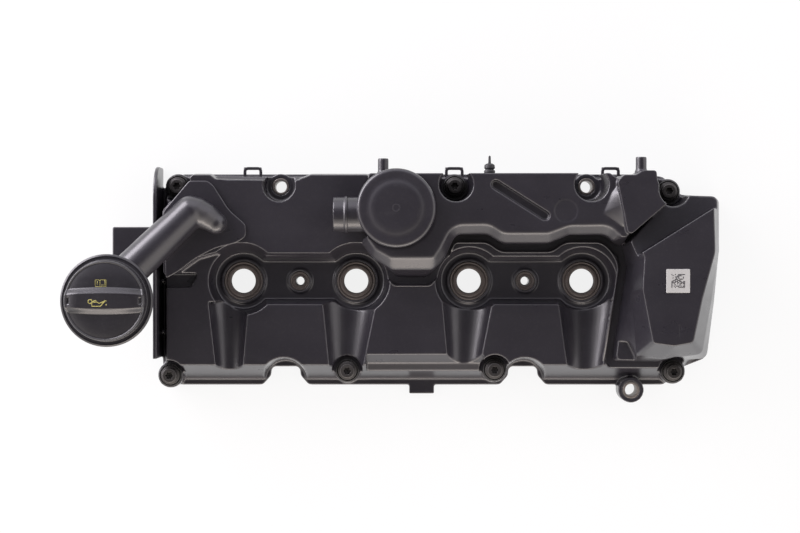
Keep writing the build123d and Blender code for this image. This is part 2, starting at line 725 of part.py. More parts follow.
def oil_filler_neck():
    plate_top = deck_height + neck_flange_thickness
    outside = prism(neck_flange, deck_height, plate_top) + [
        neck_duct(0), tapered([(lobe_foot, deck_height), (lobe_top, lobe_height)]),
        upright(cap_x, cap_y, collar_radius, collar_bottom, collar_top)]
    lip_bottom = collar_top - collar_lip
    inside = [neck_duct(neck_wall),
              tapered([(lobe_foot, deck_height), (lobe_top, lobe_height)], neck_wall, 1),
              upright(cap_x, cap_y, collar_bore, collar_bottom + neck_wall, lip_bottom),
              upright(cap_x, cap_y, cap_plug_radius + collar_gap, lip_bottom - 1, collar_top + 1)]
    slot = cap_plug_radius + cap_lug_reach + collar_gap
    inside.append(box((cap_x - cap_lug_width / 2 - 1, cap_x + cap_lug_width / 2 + 1),
                      (cap_y - slot, cap_y + slot), (lip_bottom - 1, collar_top + 1)))
    return outside - inside


def oil_filler_cap():
    base = collar_top + cap_seal_thickness
    crown_foot = base + cap_flange_thickness
    crown = crown_foot + cap_crown_height
    dome_top, dome_rim = crown - grip_height, crown - grip_height - cap_dome_fall
    corners = [(0, base), (cap_flange_radius - 1, base), (cap_flange_radius, base + 1),
               (cap_flange_radius, crown_foot - 1), (cap_flange_radius - 1, crown_foot),
               (cap_body_radius, crown_foot), (cap_crown_radius, dome_rim)]
    low_corners = [Vector(radius, 0, height) for radius, height in corners]
    sides = [Edge.make_line(start, end) for start, end in zip(low_corners, low_corners[1:])]
    ball = (cap_crown_radius ** 2 + cap_dome_fall ** 2) / (2 * cap_dome_fall)
    half_way = cap_crown_radius / 2
    sag = ball - (ball ** 2 - half_way ** 2) ** 0.5
    dome = Edge.make_three_point_arc((cap_crown_radius, 0, dome_rim),
                                     (half_way, 0, dome_top - sag), (0, 0, dome_top))
    axis = Edge.make_line((0, 0, dome_top), (0, 0, base))
    cap = revolve(Face(Wire(sides + [dome, axis])), Axis.Z).moved(Location((cap_x, cap_y, 0)))

    # Grip bar across the dome, narrower in the middle
    waist, end, reach = grip_half_width - grip_waist, grip_half_width, cap_flange_radius
    edges = [Edge.make_three_point_arc((-reach, -end), (0, -waist), (reach, -end)),
             Edge.make_line((reach, -end), (reach, end)),
             Edge.make_three_point_arc((reach, end), (0, waist), (-reach, end)),
             Edge.make_line((-reach, end), (-reach, -end))]
    bar = extrude(Face(Wire(edges)).moved(Location((cap_x, cap_y, crown_foot))),
                  amount=cap_crown_height, dir=(0, 0, 1))
    cap = cap + (bar & upright(cap_x, cap_y, cap_crown_radius, crown_foot, crown))

    plug_end = base - cap_plug_length
    cap = cap + tube(cap_x, cap_y, cap_plug_radius, cap_plug_radius - cap_plug_wall, plug_end, base)
    lug_top = collar_top - collar_lip - 0.2
    lug_reach = cap_plug_radius + cap_lug_reach
    lugs = box((cap_x - lug_reach, cap_x + lug_reach), (cap_y - cap_lug_width / 2, cap_y + cap_lug_width / 2),
               (lug_top - cap_lug_height, lug_top))
    lugs = lugs & upright(cap_x, cap_y, lug_reach, lug_top - cap_lug_height, lug_top)
    return cap + (lugs - upright(cap_x, cap_y, cap_plug_radius - cap_plug_wall, 0, base))


def harness_peg():
    peg = along_y(peg_x, peg_height, peg_core_radius, peg_boss_root + 2 * wall, peg_end)
    gap = (peg_end - peg_start) / (peg_fins + 1)
    fins = [along_y(peg_x, peg_height, peg_fin_radius - place * peg_fin_step, peg_start + gap * (place + 0.3),
                    peg_start + gap * (place + 0.3) + peg_fin_thickness) for place in range(peg_fins)]
    return peg + fins + [along_y(peg_x, peg_height, peg_pin_radius, peg_end, peg_end + peg_pin_length)]


def perimeter_gasket():
    top = gasket_height - gasket_stand
    ring = prism(gasket_outline, -gasket_stand, top)
    return ring - prism(inset(gasket_outline, gasket_width), -gasket_stand - 1, top + 1)


def injector_seal(x):
    # Ring with a raised lip round the injector
    top = seal_seat_height + injector_seal_height
    lip = (injector_hole_radius + injector_seal_radius) / 2
    return revolved(x, 0, [
        (injector_hole_radius, seal_seat_height), (injector_seal_radius, seal_seat_height),
        (injector_seal_radius, top - seal_lip_height), (lip + 1, top - seal_lip_height), (lip, top),
        (injector_hole_radius + 1, top), (injector_hole_radius, top - 1)])


def clamp_seal(x):
    return tube(x, 0, clamp_seal_radius, clamp_seal_bore,
                seal_seat_height, seal_seat_height + clamp_seal_height)


def cover_bolt(x, y):
    seat = boss_height + grommet_height
    head_top = seat + bolt_flange_thickness + bolt_head_height
    bolt = upright(x, y, bolt_radius, head_top - bolt_head_height - bolt_length, seat)
    bolt = bolt + upright(x, y, bolt_flange_radius, seat, seat + bolt_flange_thickness)
    bolt = bolt + upright(x, y, bolt_head_radius, seat, head_top)
    return bolt - upright(x, y, bolt_drive_radius, head_top - bolt_drive_depth, head_top + 1)


# The lower moulding is kept as six pieces that meet without a gap
moulding = cover_body()
far = 2 * abs(front_edge) + cylinder_pitch * len(injector_x)
height = (-1, label_block_height + 1)
ear_x, ear_y = bare_points[0]
ear = box((ear_x - ear_half_width, ear_x + ear_half_width), (-far, ear_y + ear_half_width), height)
parts = {}
parts["cover_start"] = moulding & box((-far, start_line), (-far, far), height)
parts["cover_front"] = moulding & box((start_line, end_line), (-far, -middle_half_width), height)
parts["cover_middle"] = moulding & box((start_line, end_line), (-middle_half_width, middle_half_width), height)
parts["cover_rear"] = moulding & box((start_line, end_line), (middle_half_width, far), height)
parts["cover_end"] = (moulding & box((end_line, far), (-far, far), height)) - ear
parts["cover_ear"] = moulding & ear
parts["reservoir_shell"] = reservoir_shell()
parts["separator_baffle"] = separator_baffle()
parts["regulator_housing"] = regulator_housing()
parts["regulator_lid"] = regulator_lid()
parts["regulator_diaphragm"] = regulator_diaphragm()
parts["regulator_valve"] = regulator_valve()
parts["regulator_spring"] = regulator_spring()
parts["oil_filler_neck"] = oil_filler_neck()
parts["oil_filler_cap"] = oil_filler_cap()
parts["cap_seal"] = tube(cap_x, cap_y, cap_seal_outer, cap_seal_inner,
                         collar_top, collar_top + cap_seal_thickness)
parts["perimeter_gasket"] = perimeter_gasket()
parts["harness_peg"] = harness_peg()
for place, x in enumerate(injector_x):
    parts[f"injector_seal_{place + 1}"] = injector_seal(x)
for place, x in enumerate(clamp_x):
    parts[f"clamp_seal_{place + 1}"] = clamp_seal(x)
parts["cover_bolts"] = Compound([solid for x, y in captive_points for solid in cover_bolt(x, y).solids()])
parts["bolt_grommets"] = Compound([solid for x, y in captive_points for solid in tube(
    x, y, grommet_radius, grommet_bore, boss_height, boss_height + grommet_height).solids()])
parts["bolt_sleeves"] = Compound([solid for x, y in captive_points for solid in tube(
    x, y, captive_sleeve_radius, captive_bore_radius, 0, boss_height).solids()])
parts["bare_sleeves"] = Compound([solid for x, y in bare_points for solid in tube(
    x, y, bare_sleeve_radius, bare_bore_radius, 0, boss_height).solids()])

os.makedirs("parts", exist_ok=True)
for name, shape in parts.items():
    solids = shape.solids()
    whole = solids[0] if len(solids) == 1 else Compound(solids)
    export_step(whole, f"parts/{name}.step")
    print(name, len(solids), round(sum(solid.volume for solid in solids)))
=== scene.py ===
import json
import time

import bmesh
import bpy
import numpy as np
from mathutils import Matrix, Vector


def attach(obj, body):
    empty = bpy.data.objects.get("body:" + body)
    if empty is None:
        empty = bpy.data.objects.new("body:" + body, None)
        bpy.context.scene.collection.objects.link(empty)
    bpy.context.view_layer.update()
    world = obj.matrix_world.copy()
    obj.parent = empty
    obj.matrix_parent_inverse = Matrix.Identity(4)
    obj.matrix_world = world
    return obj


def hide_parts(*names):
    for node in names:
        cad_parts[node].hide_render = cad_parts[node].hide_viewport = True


started = time.time()
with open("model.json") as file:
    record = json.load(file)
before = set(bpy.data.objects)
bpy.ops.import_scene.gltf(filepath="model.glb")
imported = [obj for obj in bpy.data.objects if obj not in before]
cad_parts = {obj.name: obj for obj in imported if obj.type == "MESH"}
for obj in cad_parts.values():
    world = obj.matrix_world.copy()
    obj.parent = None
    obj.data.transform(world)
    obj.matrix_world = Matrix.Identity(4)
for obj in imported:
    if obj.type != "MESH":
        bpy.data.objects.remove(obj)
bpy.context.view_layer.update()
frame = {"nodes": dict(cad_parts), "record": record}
nodes = frame["nodes"]
mm = 0.001


def report(stage):
    print(f"{stage}: {time.time() - started:.0f} s")


report("frame loaded")


def newGroup(name, inputs, outputs):
    group = bpy.data.node_groups.new(name, "ShaderNodeTree")
    for label, kind, value in inputs:
        socket = group.interface.new_socket(name=label, in_out="INPUT", socket_type=kind)
        if value is not None:
            socket.default_value = value
    for label, kind in outputs:
        group.interface.new_socket(name=label, in_out="OUTPUT", socket_type=kind)
    return group, group.nodes.new("NodeGroupInput"), group.nodes.new("NodeGroupOutput")


def newNode(tree, kind, values=None, sources=None, **fields):
    # A shader node with its fields, its sockets' values, and the outputs that feed its sockets
    node = tree.nodes.new(kind)
    for field, value in fields.items():
        setattr(node, field, value)
    for socket, value in (values or {}).items():
        node.inputs[socket].default_value = value
    for socket, output in (sources or {}).items():
        tree.links.new(output, node.inputs[socket])
    return node


def mouldGrainGroup():
    # Fine spark-eroded grain, broad cloudy patches and a few soft flow streaks
    group, source, sink = newGroup(
        "mouldGrain",
        [("Vector", "NodeSocketVector", None), ("Grain Scale", "NodeSocketFloat", 2200.0),
         ("Patch Scale", "NodeSocketFloat", 28.0)],
        [("Height", "NodeSocketFloat"), ("Patches", "NodeSocketFloat"), ("Streaks", "NodeSocketFloat")])
    place = source.outputs["Vector"]
    fine = newNode(group, "ShaderNodeTexNoise", {"Detail": 3.0},
                   {"Vector": place, "Scale": source.outputs["Grain Scale"]})
    broad = newNode(group, "ShaderNodeTexNoise", {"Detail": 4.0, "Roughness": 0.6},
                    {"Vector": place, "Scale": source.outputs["Patch Scale"]})
    stretch = newNode(group, "ShaderNodeMapping", {"Scale": (9.0, 60.0, 30.0), "Rotation": (0.0, 0.0, 0.5)},
                      {"Vector": place})
    streaks = newNode(group, "ShaderNodeTexNoise", {"Scale": 1.0, "Distortion": 0.8},
                      {"Vector": stretch.outputs["Vector"]})
    for socket, noise in (("Height", fine), ("Patches", broad), ("Streaks", streaks)):
        group.links.new(noise.outputs["Fac"], sink.inputs[socket])
    return group


def dustVeilGroup():
    # A thin veil of dust specks that gathers on surfaces facing up
    group, source, sink = newGroup(
        "dustVeil",
        [("Vector", "NodeSocketVector", None), ("Amount", "NodeSocketFloat", 0.2)],
        [("Mask", "NodeSocketFloat")])
    specks = newNode(group, "ShaderNodeTexNoise", {"Scale": 420.0, "Detail": 5.0, "Roughness": 0.75},
                     {"Vector": source.outputs["Vector"]})
    ramp = newNode(group, "ShaderNodeMapRange", {"From Min": 0.52, "From Max": 0.75},
                   {"Value": specks.outputs["Fac"]})
    geometry = newNode(group, "ShaderNodeNewGeometry")
    split = newNode(group, "ShaderNodeSeparateXYZ", sources={"Vector": geometry.outputs["Normal"]})
    upward = newNode(group, "ShaderNodeMath", sources={0: ramp.outputs["Result"], 1: split.outputs["Z"]},
                     operation="MULTIPLY", use_clamp=True)
    amounts = {0: upward.outputs["Value"], 1: source.outputs["Amount"]}
    scaled = newNode(group, "ShaderNodeMath", sources=amounts, operation="MULTIPLY")
    group.links.new(scaled.outputs["Value"], sink.inputs["Mask"])
    return group


def paintedEdgeHighlightGroup():
    # Painted highlight along outer edges: the edge attribute, broken up by a noise so that the painted
    # highlight comes and goes
    group, source, sink = newGroup(
        "paintedEdgeHighlight",
        [("Vector", "NodeSocketVector", None), ("Edge", "NodeSocketFloat", 0.0),
         ("Amount", "NodeSocketFloat", 0.5)],
        [("Mask", "NodeSocketFloat")])
    breaks = newNode(group, "ShaderNodeTexNoise", {"Scale": 160.0, "Detail": 3.0},
                     {"Vector": source.outputs["Vector"]})
    level = newNode(group, "ShaderNodeMapRange", {"From Min": 0.3, "From Max": 0.6, "To Min": 0.45},
                    {"Value": breaks.outputs["Fac"]})
    broken = newNode(group, "ShaderNodeMath", sources={0: source.outputs["Edge"], 1: level.outputs["Result"]},
                     operation="MULTIPLY")
    amounts = {0: broken.outputs["Value"], 1: source.outputs["Amount"]}
    scaled = newNode(group, "ShaderNodeMath", sources=amounts, operation="MULTIPLY", use_clamp=True)
    group.links.new(scaled.outputs["Value"], sink.inputs["Mask"])
    return group


mouldGrain, dustVeil, paintedEdgeHighlight = mouldGrainGroup(), dustVeilGroup(), paintedEdgeHighlightGroup()
# Shared settings: the dust tone, the roughness ramp, and the tone, roughness drop and bulge limits of the
# painted edge highlight
dustAndHighlightLook = {"highlightTone": (0.11, 0.105, 0.11), "dustTone": (0.30, 0.29, 0.28), "shine": (0.35, 0.65),
            "edgeRoughness": -0.12, "bumpDepth": 0.00006, "edgeFrom": 0.05, "edgeSpan": 0.25}


def finish(name, look):
    # A Principled material whose colour, roughness and bump all vary over the surface, with a painted
    # highlight that lightens its bulging edges
    material = bpy.data.materials.new(name)
    material.use_nodes = True
    tree = material.node_tree
    shader = tree.nodes["Principled BSDF"]
    shader.inputs["Metallic"].default_value = look.get("metallic", 0.0)
    shader.inputs["IOR"].default_value = look.get("ior", 1.5)
    shader.inputs["Coat Weight"].default_value = look.get("coat", 0.0)
    shader.inputs["Coat Roughness"].default_value = look.get("coatRoughness", 0.2)
    place = newNode(tree, "ShaderNodeTexCoord").outputs["Object"]
    edge = newNode(tree, "ShaderNodeAttribute", attribute_name="edgeBulge")
    grain = newNode(tree, "ShaderNodeGroup", node_tree=mouldGrain)
    grain.inputs["Grain Scale"].default_value = look["grainScale"]
    grain.inputs["Patch Scale"].default_value = look.get("patchScale", 28.0)
    dust = newNode(tree, "ShaderNodeGroup", node_tree=dustVeil)
    dust.inputs["Amount"].default_value = look.get("dust", 0.1)
    edgeHighlight = newNode(tree, "ShaderNodeGroup", node_tree=paintedEdgeHighlight)
    edgeHighlight.inputs["Amount"].default_value = look.get("edgeHighlight", 0.5)
    tree.links.new(edge.outputs["Fac"], edgeHighlight.inputs["Edge"])
    for group in (grain, dust, edgeHighlight):
        tree.links.new(place, group.inputs["Vector"])
    patches, highlightMask = grain.outputs["Patches"], edgeHighlight.outputs["Mask"]
    # Sockets 6 and 7 of a colour mix are its colours A and B, 2 and 3 of a value mix are its values A and B
    tone = newNode(tree, "ShaderNodeMix", data_type="RGBA")
    # The second colour mix lightens bulging edges towards the edge tone: a painted edge highlight, whose mask
    # also lowers the roughness
    highlighted = newNode(tree, "ShaderNodeMix", data_type="RGBA")
    veil = newNode(tree, "ShaderNodeMix", data_type="RGBA")
    tone.inputs[6].default_value = (*look["dark"], 1)
    tone.inputs[7].default_value = (*look["light"], 1)
    highlighted.inputs[7].default_value = (*look.get("highlightTone", dustAndHighlightLook["highlightTone"]), 1)
    veil.inputs[7].default_value = (*dustAndHighlightLook["dustTone"], 1)
    mixed = newNode(tree, "ShaderNodeMix", {0: 0.5}, {2: patches, 3: grain.outputs["Streaks"]})
    shine = newNode(tree, "ShaderNodeMapRange", {
        "From Min": dustAndHighlightLook["shine"][0], "From Max": dustAndHighlightLook["shine"][1],
        "To Min": look["smooth"], "To Max": look["rough"]}, {"Value": mixed.outputs[0]})
    finalRoughness = newNode(tree, "ShaderNodeMath", {1: dustAndHighlightLook["edgeRoughness"]},
                   {0: highlightMask, 2: shine.outputs["Result"]}, operation="MULTIPLY_ADD")
    bump = newNode(tree, "ShaderNodeBump", {"Strength": look["bump"], "Distance": dustAndHighlightLook["bumpDepth"]},
                   {"Height": grain.outputs["Height"]})
    for output, socket in (
            (patches, tone.inputs[0]), (highlightMask, highlighted.inputs[0]), (tone.outputs[2], highlighted.inputs[6]),
            (dust.outputs["Mask"], veil.inputs[0]), (highlighted.outputs[2], veil.inputs[6]),
            (veil.outputs[2], shader.inputs["Base Color"]),
            (finalRoughness.outputs["Value"], shader.inputs["Roughness"]),
            (bump.outputs["Normal"], shader.inputs["Normal"])):
        tree.links.new(output, socket)
    return material


# Each edge tone, here and in the paints below, is the colour of the painted edge highlight
finishes = {
    "body_plastic": finish("mouldedBlack", {
        "dark": (0.0150, 0.0136, 0.0185), "light": (0.0240, 0.0220, 0.0290), "smooth": 0.26, "rough": 0.38,
        "ior": 1.55, "coat": 0.5, "coatRoughness": 0.3, "grainScale": 1500.0, "bump": 0.25, "dust": 0.04,
        "edgeHighlight": 0.6}),
    "inner_plastic": finish("innerBlack", {
        "dark": (0.020, 0.020, 0.021), "light": (0.034, 0.034, 0.036), "smooth": 0.45, "rough": 0.6,
        "grainScale": 1800.0, "bump": 0.3, "dust": 0.05}),
    "cap_plastic": finish("capBlack", {
        "dark": (0.0130, 0.0120, 0.0155), "light": (0.0200, 0.0188, 0.0235), "smooth": 0.26, "rough": 0.38,
        "ior": 1.55, "coat": 0.4, "coatRoughness": 0.3, "grainScale": 2600.0, "bump": 0.25, "dust": 0.05,
        "edgeHighlight": 0.5}),
    "soft_rubber": finish("softRubber", {
        "dark": (0.014, 0.014, 0.014), "light": (0.026, 0.025, 0.024), "smooth": 0.5, "rough": 0.7,
        "grainScale": 900.0, "bump": 0.3, "dust": 0.12, "edgeHighlight": 0.6}),
    "seal_rubber": finish("sealRubber", {
        "dark": (0.055, 0.044, 0.040), "light": (0.085, 0.070, 0.064), "smooth": 0.42, "rough": 0.6,
        "grainScale": 1200.0, "bump": 0.3, "dust": 0.12, "edgeHighlight": 0.8, "highlightTone": (0.22, 0.20, 0.19)}),
    "spring_steel": finish("springSteel", {
        "dark": (0.40, 0.40, 0.41), "light": (0.60, 0.60, 0.61), "smooth": 0.2, "rough": 0.4, "metallic": 1.0,
        "grainScale": 3000.0, "bump": 0.1, "dust": 0.0, "highlightTone": (0.7, 0.7, 0.7)}),
    "bolt_steel": finish("boltSteel", {
        "dark": (0.030, 0.028, 0.028), "light": (0.060, 0.056, 0.054), "smooth": 0.38, "rough": 0.55,
        "metallic": 0.5, "grainScale": 3000.0, "bump": 0.2, "dust": 0.05, "highlightTone": (0.25, 0.24, 0.23)}),
    "sleeve_metal": finish("sleeveMetal", {
        "dark": (0.20, 0.18, 0.165), "light": (0.33, 0.30, 0.28), "smooth": 0.35, "rough": 0.5,
        "metallic": 0.8, "grainScale": 2500.0, "bump": 0.2, "dust": 0.05, "highlightTone": (0.5, 0.47, 0.44)}),
}
paints = {
    "symbolPaint": finish("symbolPaint", {
        "dark": (0.30, 0.27, 0.06), "light": (0.46, 0.42, 0.12), "smooth": 0.45, "rough": 0.6,
        "grainScale": 1800.0, "patchScale": 400.0, "bump": 0.3, "dust": 0.1, "highlightTone": (0.48, 0.44, 0.16)}),
    "labelFilm": finish("labelFilm", {
        "dark": (0.42, 0.42, 0.41), "light": (0.52, 0.52, 0.51), "smooth": 0.32, "rough": 0.45,
        "grainScale": 900.0, "patchScale": 90.0, "bump": 0.1, "dust": 0.1, "highlightTone": (0.9, 0.9, 0.9)}),
    "labelPrint": finish("labelPrint", {
        "dark": (0.030, 0.030, 0.032), "light": (0.055, 0.055, 0.058), "smooth": 0.4, "rough": 0.55,
        "grainScale": 900.0, "patchScale": 300.0, "bump": 0.1, "dust": 0.05}),
}
slotOf = {part["node"]: part["material_slot"] for part in frame["record"]["subparts"]}
bodyOf = {node: body for body, members in frame["record"]["behaviour"]["bodies"].items() for node in members}
for nodeName, node in nodes.items():
    node.data.materials.clear()
    node.data.materials.append(finishes[slotOf[nodeName]])
report("materials")


def rounded(corners, cuts, steps=5, closed=True):
    # Each corner P becomes the parabola (1-t)^2 A + 2t(1-t) P + t^2 B, where A and B lie a cut before and
    # after the corner on its two sides
    corner = np.array(corners, float)
    before, after = np.roll(corner, 1, 0) - corner, np.roll(corner, -1, 0) - corner
    longBefore, longAfter = np.linalg.norm(before, axis=1), np.linalg.norm(after, axis=1)
    cut = np.minimum(np.broadcast_to(np.array(cuts, float), longBefore.shape),
                     0.48 * np.minimum(longBefore, longAfter))
    if not closed:
        cut = cut * np.r_[0.0, np.ones(len(corner) - 2), 0.0]
    start = corner + before * (cut / longBefore)[:, None]
    end = corner + after * (cut / longAfter)[:, None]
    t = np.linspace(0, 1, steps)[None, :, None]
    arcs = (1 - t) ** 2 * start[:, None] + 2 * t * (1 - t) * corner[:, None] + t ** 2 * end[:, None]
    return arcs.reshape(-1, 2)


def apart(path):
    # A path without the points that repeat the one before
    return path[np.r_[True, np.linalg.norm(np.diff(path, axis=0), axis=1) > 1e-6]]


def read(items, field):
    # One vector of each item, as rows
    values = np.empty(len(items) * 3, np.float32)
    items.foreach_get(field, values)
    return values.reshape(-1, 3)


def gridMesh(name, points, loopRows=False, loopColumns=False):
    # Quads over grids of points shaped (copies, rows, columns, 3) in mm; seams and poles then merge
    copies, rows, columns = points.shape[:3]
    index = np.arange(copies * rows * columns).reshape(copies, rows, columns)
    if loopRows:
        index = np.concatenate([index, index[:, :1]], axis=1)
    if loopColumns:
        index = np.concatenate([index, index[:, :, :1]], axis=2)
    quads = np.stack([index[:, :-1, :-1], index[:, 1:, :-1], index[:, 1:, 1:], index[:, :-1, 1:]], axis=-1)
    quads = quads.reshape(-1, 4)
    mesh = bpy.data.meshes.new(name)
    mesh.vertices.add(copies * rows * columns)
    mesh.vertices.foreach_set("co", (points * mm).astype(np.float32).ravel())
    mesh.loops.add(quads.size)
    mesh.loops.foreach_set("vertex_index", quads.astype(np.int32).ravel())
    mesh.polygons.add(len(quads))
    mesh.polygons.foreach_set("loop_start", np.arange(0, quads.size, 4, dtype=np.int32))
    mesh.update(calc_edges=True)
    shell = bmesh.new()
    shell.from_mesh(mesh)
    bmesh.ops.remove_doubles(shell, verts=shell.verts, dist=1e-6)
    bmesh.ops.dissolve_degenerate(shell, edges=shell.edges, dist=1e-7)
    bmesh.ops.recalc_face_normals(shell, faces=shell.faces)
    shell.to_mesh(mesh)
    shell.free()
    return mesh


def turned(name, profile, centres, steps=128, closed=False, ripple=0.0):
    # Surface of revolution: (cx + r cos a, cy + r sin a, z) for each (r, z) of the profile, at each centre,
    # where the ripple adds to r by row and angle
    angle = np.linspace(0, 2 * np.pi, steps, endpoint=False)
    radius, height = np.array(profile, float).T
    radius = radius[:, None] + ripple
    centre = np.array(centres, float)
    points = np.empty((len(centre), len(radius), steps, 3))
    points[..., 0] = centre[:, 0, None, None] + radius * np.cos(angle)
    points[..., 1] = centre[:, 1, None, None] + radius * np.sin(angle)
    points[..., 2] = height[:, None]
    return gridMesh(name, points, loopRows=closed, loopColumns=True)


def swept(path, section, closed=False):
    # Flat section (across, up) carried along a path, across the run: P + across * side + up * z.
    # An open path ends in rings that shrink to its end points.
    path, section = np.array(path, float), np.array(section, float)
    scale = np.ones(len(path))
    if closed:
        run = np.roll(path, -1, 0) - np.roll(path, 1, 0)
    else:
        run = np.gradient(path, axis=0)
        path, run = np.vstack([path[:1], path, path[-1:]]), np.vstack([run[:1], run, run[-1:]])
        scale = np.r_[0.0, scale, 0.0]
    side = np.stack([-run[:, 1], run[:, 0], np.zeros(len(run))], axis=1)
    side /= np.linalg.norm(side, axis=1, keepdims=True)
    across = scale[:, None] * section[None, :, 0]
    points = path[:, None] + across[..., None] * side[:, None]
    points[..., 2] += scale[:, None] * section[None, :, 1]
    return points


def disc(radius, steps=12, flat=1.0):
    # Ring of points, flattened by a share
    angle = np.linspace(0, 2 * np.pi, steps, endpoint=False)
    return np.stack([radius * np.cos(angle), radius * flat * np.sin(angle)], axis=1)


def joined(name, meshes):
    # Several closed meshes as one
    shell = bmesh.new()
    for mesh in meshes:
        shell.from_mesh(mesh)
    whole = bpy.data.meshes.new(name)
    shell.to_mesh(whole)
    shell.free()
    return whole


def markEdges(mesh):
    # Mask for the painted edge highlight: mean over the neighbours q of a vertex p of n . (p - q) / |p - q|,
    # which is above zero where the surface bulges, scaled to 0..1
    count = len(mesh.vertices)
    place, normal = read(mesh.vertices, "co"), read(mesh.vertices, "normal")
    ends = np.empty(len(mesh.edges) * 2, np.int32)
    mesh.edges.foreach_get("vertices", ends)
    first, second = ends.reshape(-1, 2).T
    away = place[first] - place[second]
    away /= np.maximum(np.linalg.norm(away, axis=1, keepdims=True), 1e-9)
    bulge, near = np.zeros(count), np.zeros(count)
    np.add.at(bulge, first, (normal[first] * away).sum(1))
    np.add.at(bulge, second, -(normal[second] * away).sum(1))
    np.add.at(near, first, 1)
    np.add.at(near, second, 1)
    wear = np.clip((bulge / np.maximum(near, 1) - dustAndHighlightLook["edgeFrom"]) / dustAndHighlightLook["edgeSpan"], 0, 1)
    layer = mesh.attributes.new("edgeBulge", "FLOAT", "POINT")
    layer.data.foreach_set("value", wear.astype(np.float32))


def place(name, mesh, body, slot, material=None, smooth=True):
    # Links a finished mesh as a piece, with its body, its slot and its finish
    piece = bpy.data.objects.new(name, mesh)
    bpy.context.scene.collection.objects.link(piece)
    if not len(mesh.materials):
        mesh.materials.append(material or finishes[slot])
    if smooth:
        mesh.shade_smooth()
    markEdges(mesh)
    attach(piece, body)
    return piece


def standIn(name, mesh, *nodeNames):
    # A finished mesh that takes the place of frame nodes
    piece = place(name, mesh, bodyOf[nodeNames[0]], slotOf[nodeNames[0]])
    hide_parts(*nodeNames)
    return piece


def mergedCopy(name, nodeNames):
    # The nodes' loose triangles welded into closed shells
    shell = bmesh.new()
    for nodeName in nodeNames:
        shell.from_mesh(nodes[nodeName].data)
    bmesh.ops.remove_doubles(shell, verts=shell.verts, dist=0.5e-6)
    mesh = bpy.data.meshes.new(name)
    shell.to_mesh(mesh)
    shell.free()
    mesh.materials.clear()
    return mesh


def applied(work):
    # The object's mesh with its modifiers carried out
    graph = bpy.context.evaluated_depsgraph_get()
    return bpy.data.meshes.new_from_object(work.evaluated_get(graph), depsgraph=graph)


relaxShare, areaWeight = 0.5, 80


def block(sides):
    # Closed box between the given sides
    (x0, x1), (y0, y1), (z0, z1) = sides
    rows = [[(x0, y0, z), (x1, y0, z), (x1, y1, z), (x0, y1, z)] for z in (z0, z1)]
    middle = [[((x0 + x1) / 2, (y0 + y1) / 2, z)] * 4 for z in (z0, z1)]
    return gridMesh("block", np.array([[middle[0], rows[0], rows[1], middle[1]]], float), loopColumns=True)


def moulded(name, nodeNames, look):
    # Voxel skin over the nodes or over a mesh of its own, relaxed so that its edges are rounded as in a
    # mould, and more so in a soft zone. A backing thickens a wall from the inside, and a bend moves the skin.
    source = look["mesh"] if "mesh" in look else mergedCopy(name + "Copy", nodeNames)
    if "backing" in look:
        source = joined(name + "Backed", [source, block(look["backing"])])
    work = bpy.data.objects.new(name + "Work", source)
    bpy.context.scene.collection.objects.link(work)
    remesh = work.modifiers.new("skin", "REMESH")
    remesh.mode = "VOXEL"
    remesh.voxel_size = look["voxel"]
    remesh.use_smooth_shade = True
    skin = applied(work)
    count = len(skin.polygons) * 2
    work.modifiers.clear()
    work.data = skin
    if "bend" in look:
        bent = look["bend"](read(skin.vertices, "co").astype(float) / mm) * mm
        skin.vertices.foreach_set("co", bent.astype(np.float32).ravel())
        skin.update()
    relax = work.modifiers.new("relax", "SMOOTH")
    relax.factor = relaxShare
    relax.iterations = look["relax"]
    if "soft" in look:
        zone = np.nonzero(look["soft"](*(read(skin.vertices, "co").T / mm)))[0]
        work.vertex_groups.new(name="soft").add(zone.tolist(), 1.0, "REPLACE")
        soften = work.modifiers.new("soften", "SMOOTH")
        soften.factor = relaxShare
        soften.iterations = look["softRelax"]
        soften.vertex_group = "soft"
    thin = work.modifiers.new("thin", "DECIMATE")
    thin.ratio = min(1.0, look["triangles"] / count)
    even = work.modifiers.new("even", "WEIGHTED_NORMAL")
    even.weight = areaWeight
    mesh = applied(work)
    bpy.data.objects.remove(work)
    report(f"{name} {count} -> {len(mesh.polygons)}")
    return standIn(name, mesh, *nodeNames)


neckShape = {
    # Stations of the tube and of its lobe: x, y, width, bottom, top
    "tube": [(-235, -12, 26.5, 63, 87.5), (-228, -5, 28, 60, 88), (-200, 23, 26.8, 52.5, 79),
             (-178, 45, 25.5, 45.5, 71.5), (-170, 53, 25, 44.5, 68.5)],
    "lobe": [(-170, 53.5, 17, 44.5, 68), (-166, 53.5, 22.5, 44.5, 67.5), (-158, 49.5, 21, 44.5, 64),
             (-151, 44.5, 17, 44.5, 60)],
    "spring": 0.42, "steps": 48, "endSteps": 10, "roundSteps": 96, "passes": 3,
    "flange": [(-190, 2), (-180, 7.5), (-167, 17.5), (-152, 25.4), (-136, 29.3), (-128.4, 34), (-128.4, 43.5),
               (-141.3, 54.6), (-153.6, 74), (-158.2, 77.3), (-172, 77.3), (-192.5, 53.1)],
    "flangeCuts": [2, 4, 4, 5, 3, 3, 3, 5, 3, 2, 2, 3], "plate": (44.0, 46.5), "middle": (-163, 45),
    "cap": (-227.7, -14.1), "collar": [(0, 62), (25.5, 62), (25.5, 94), (0, 94)]}


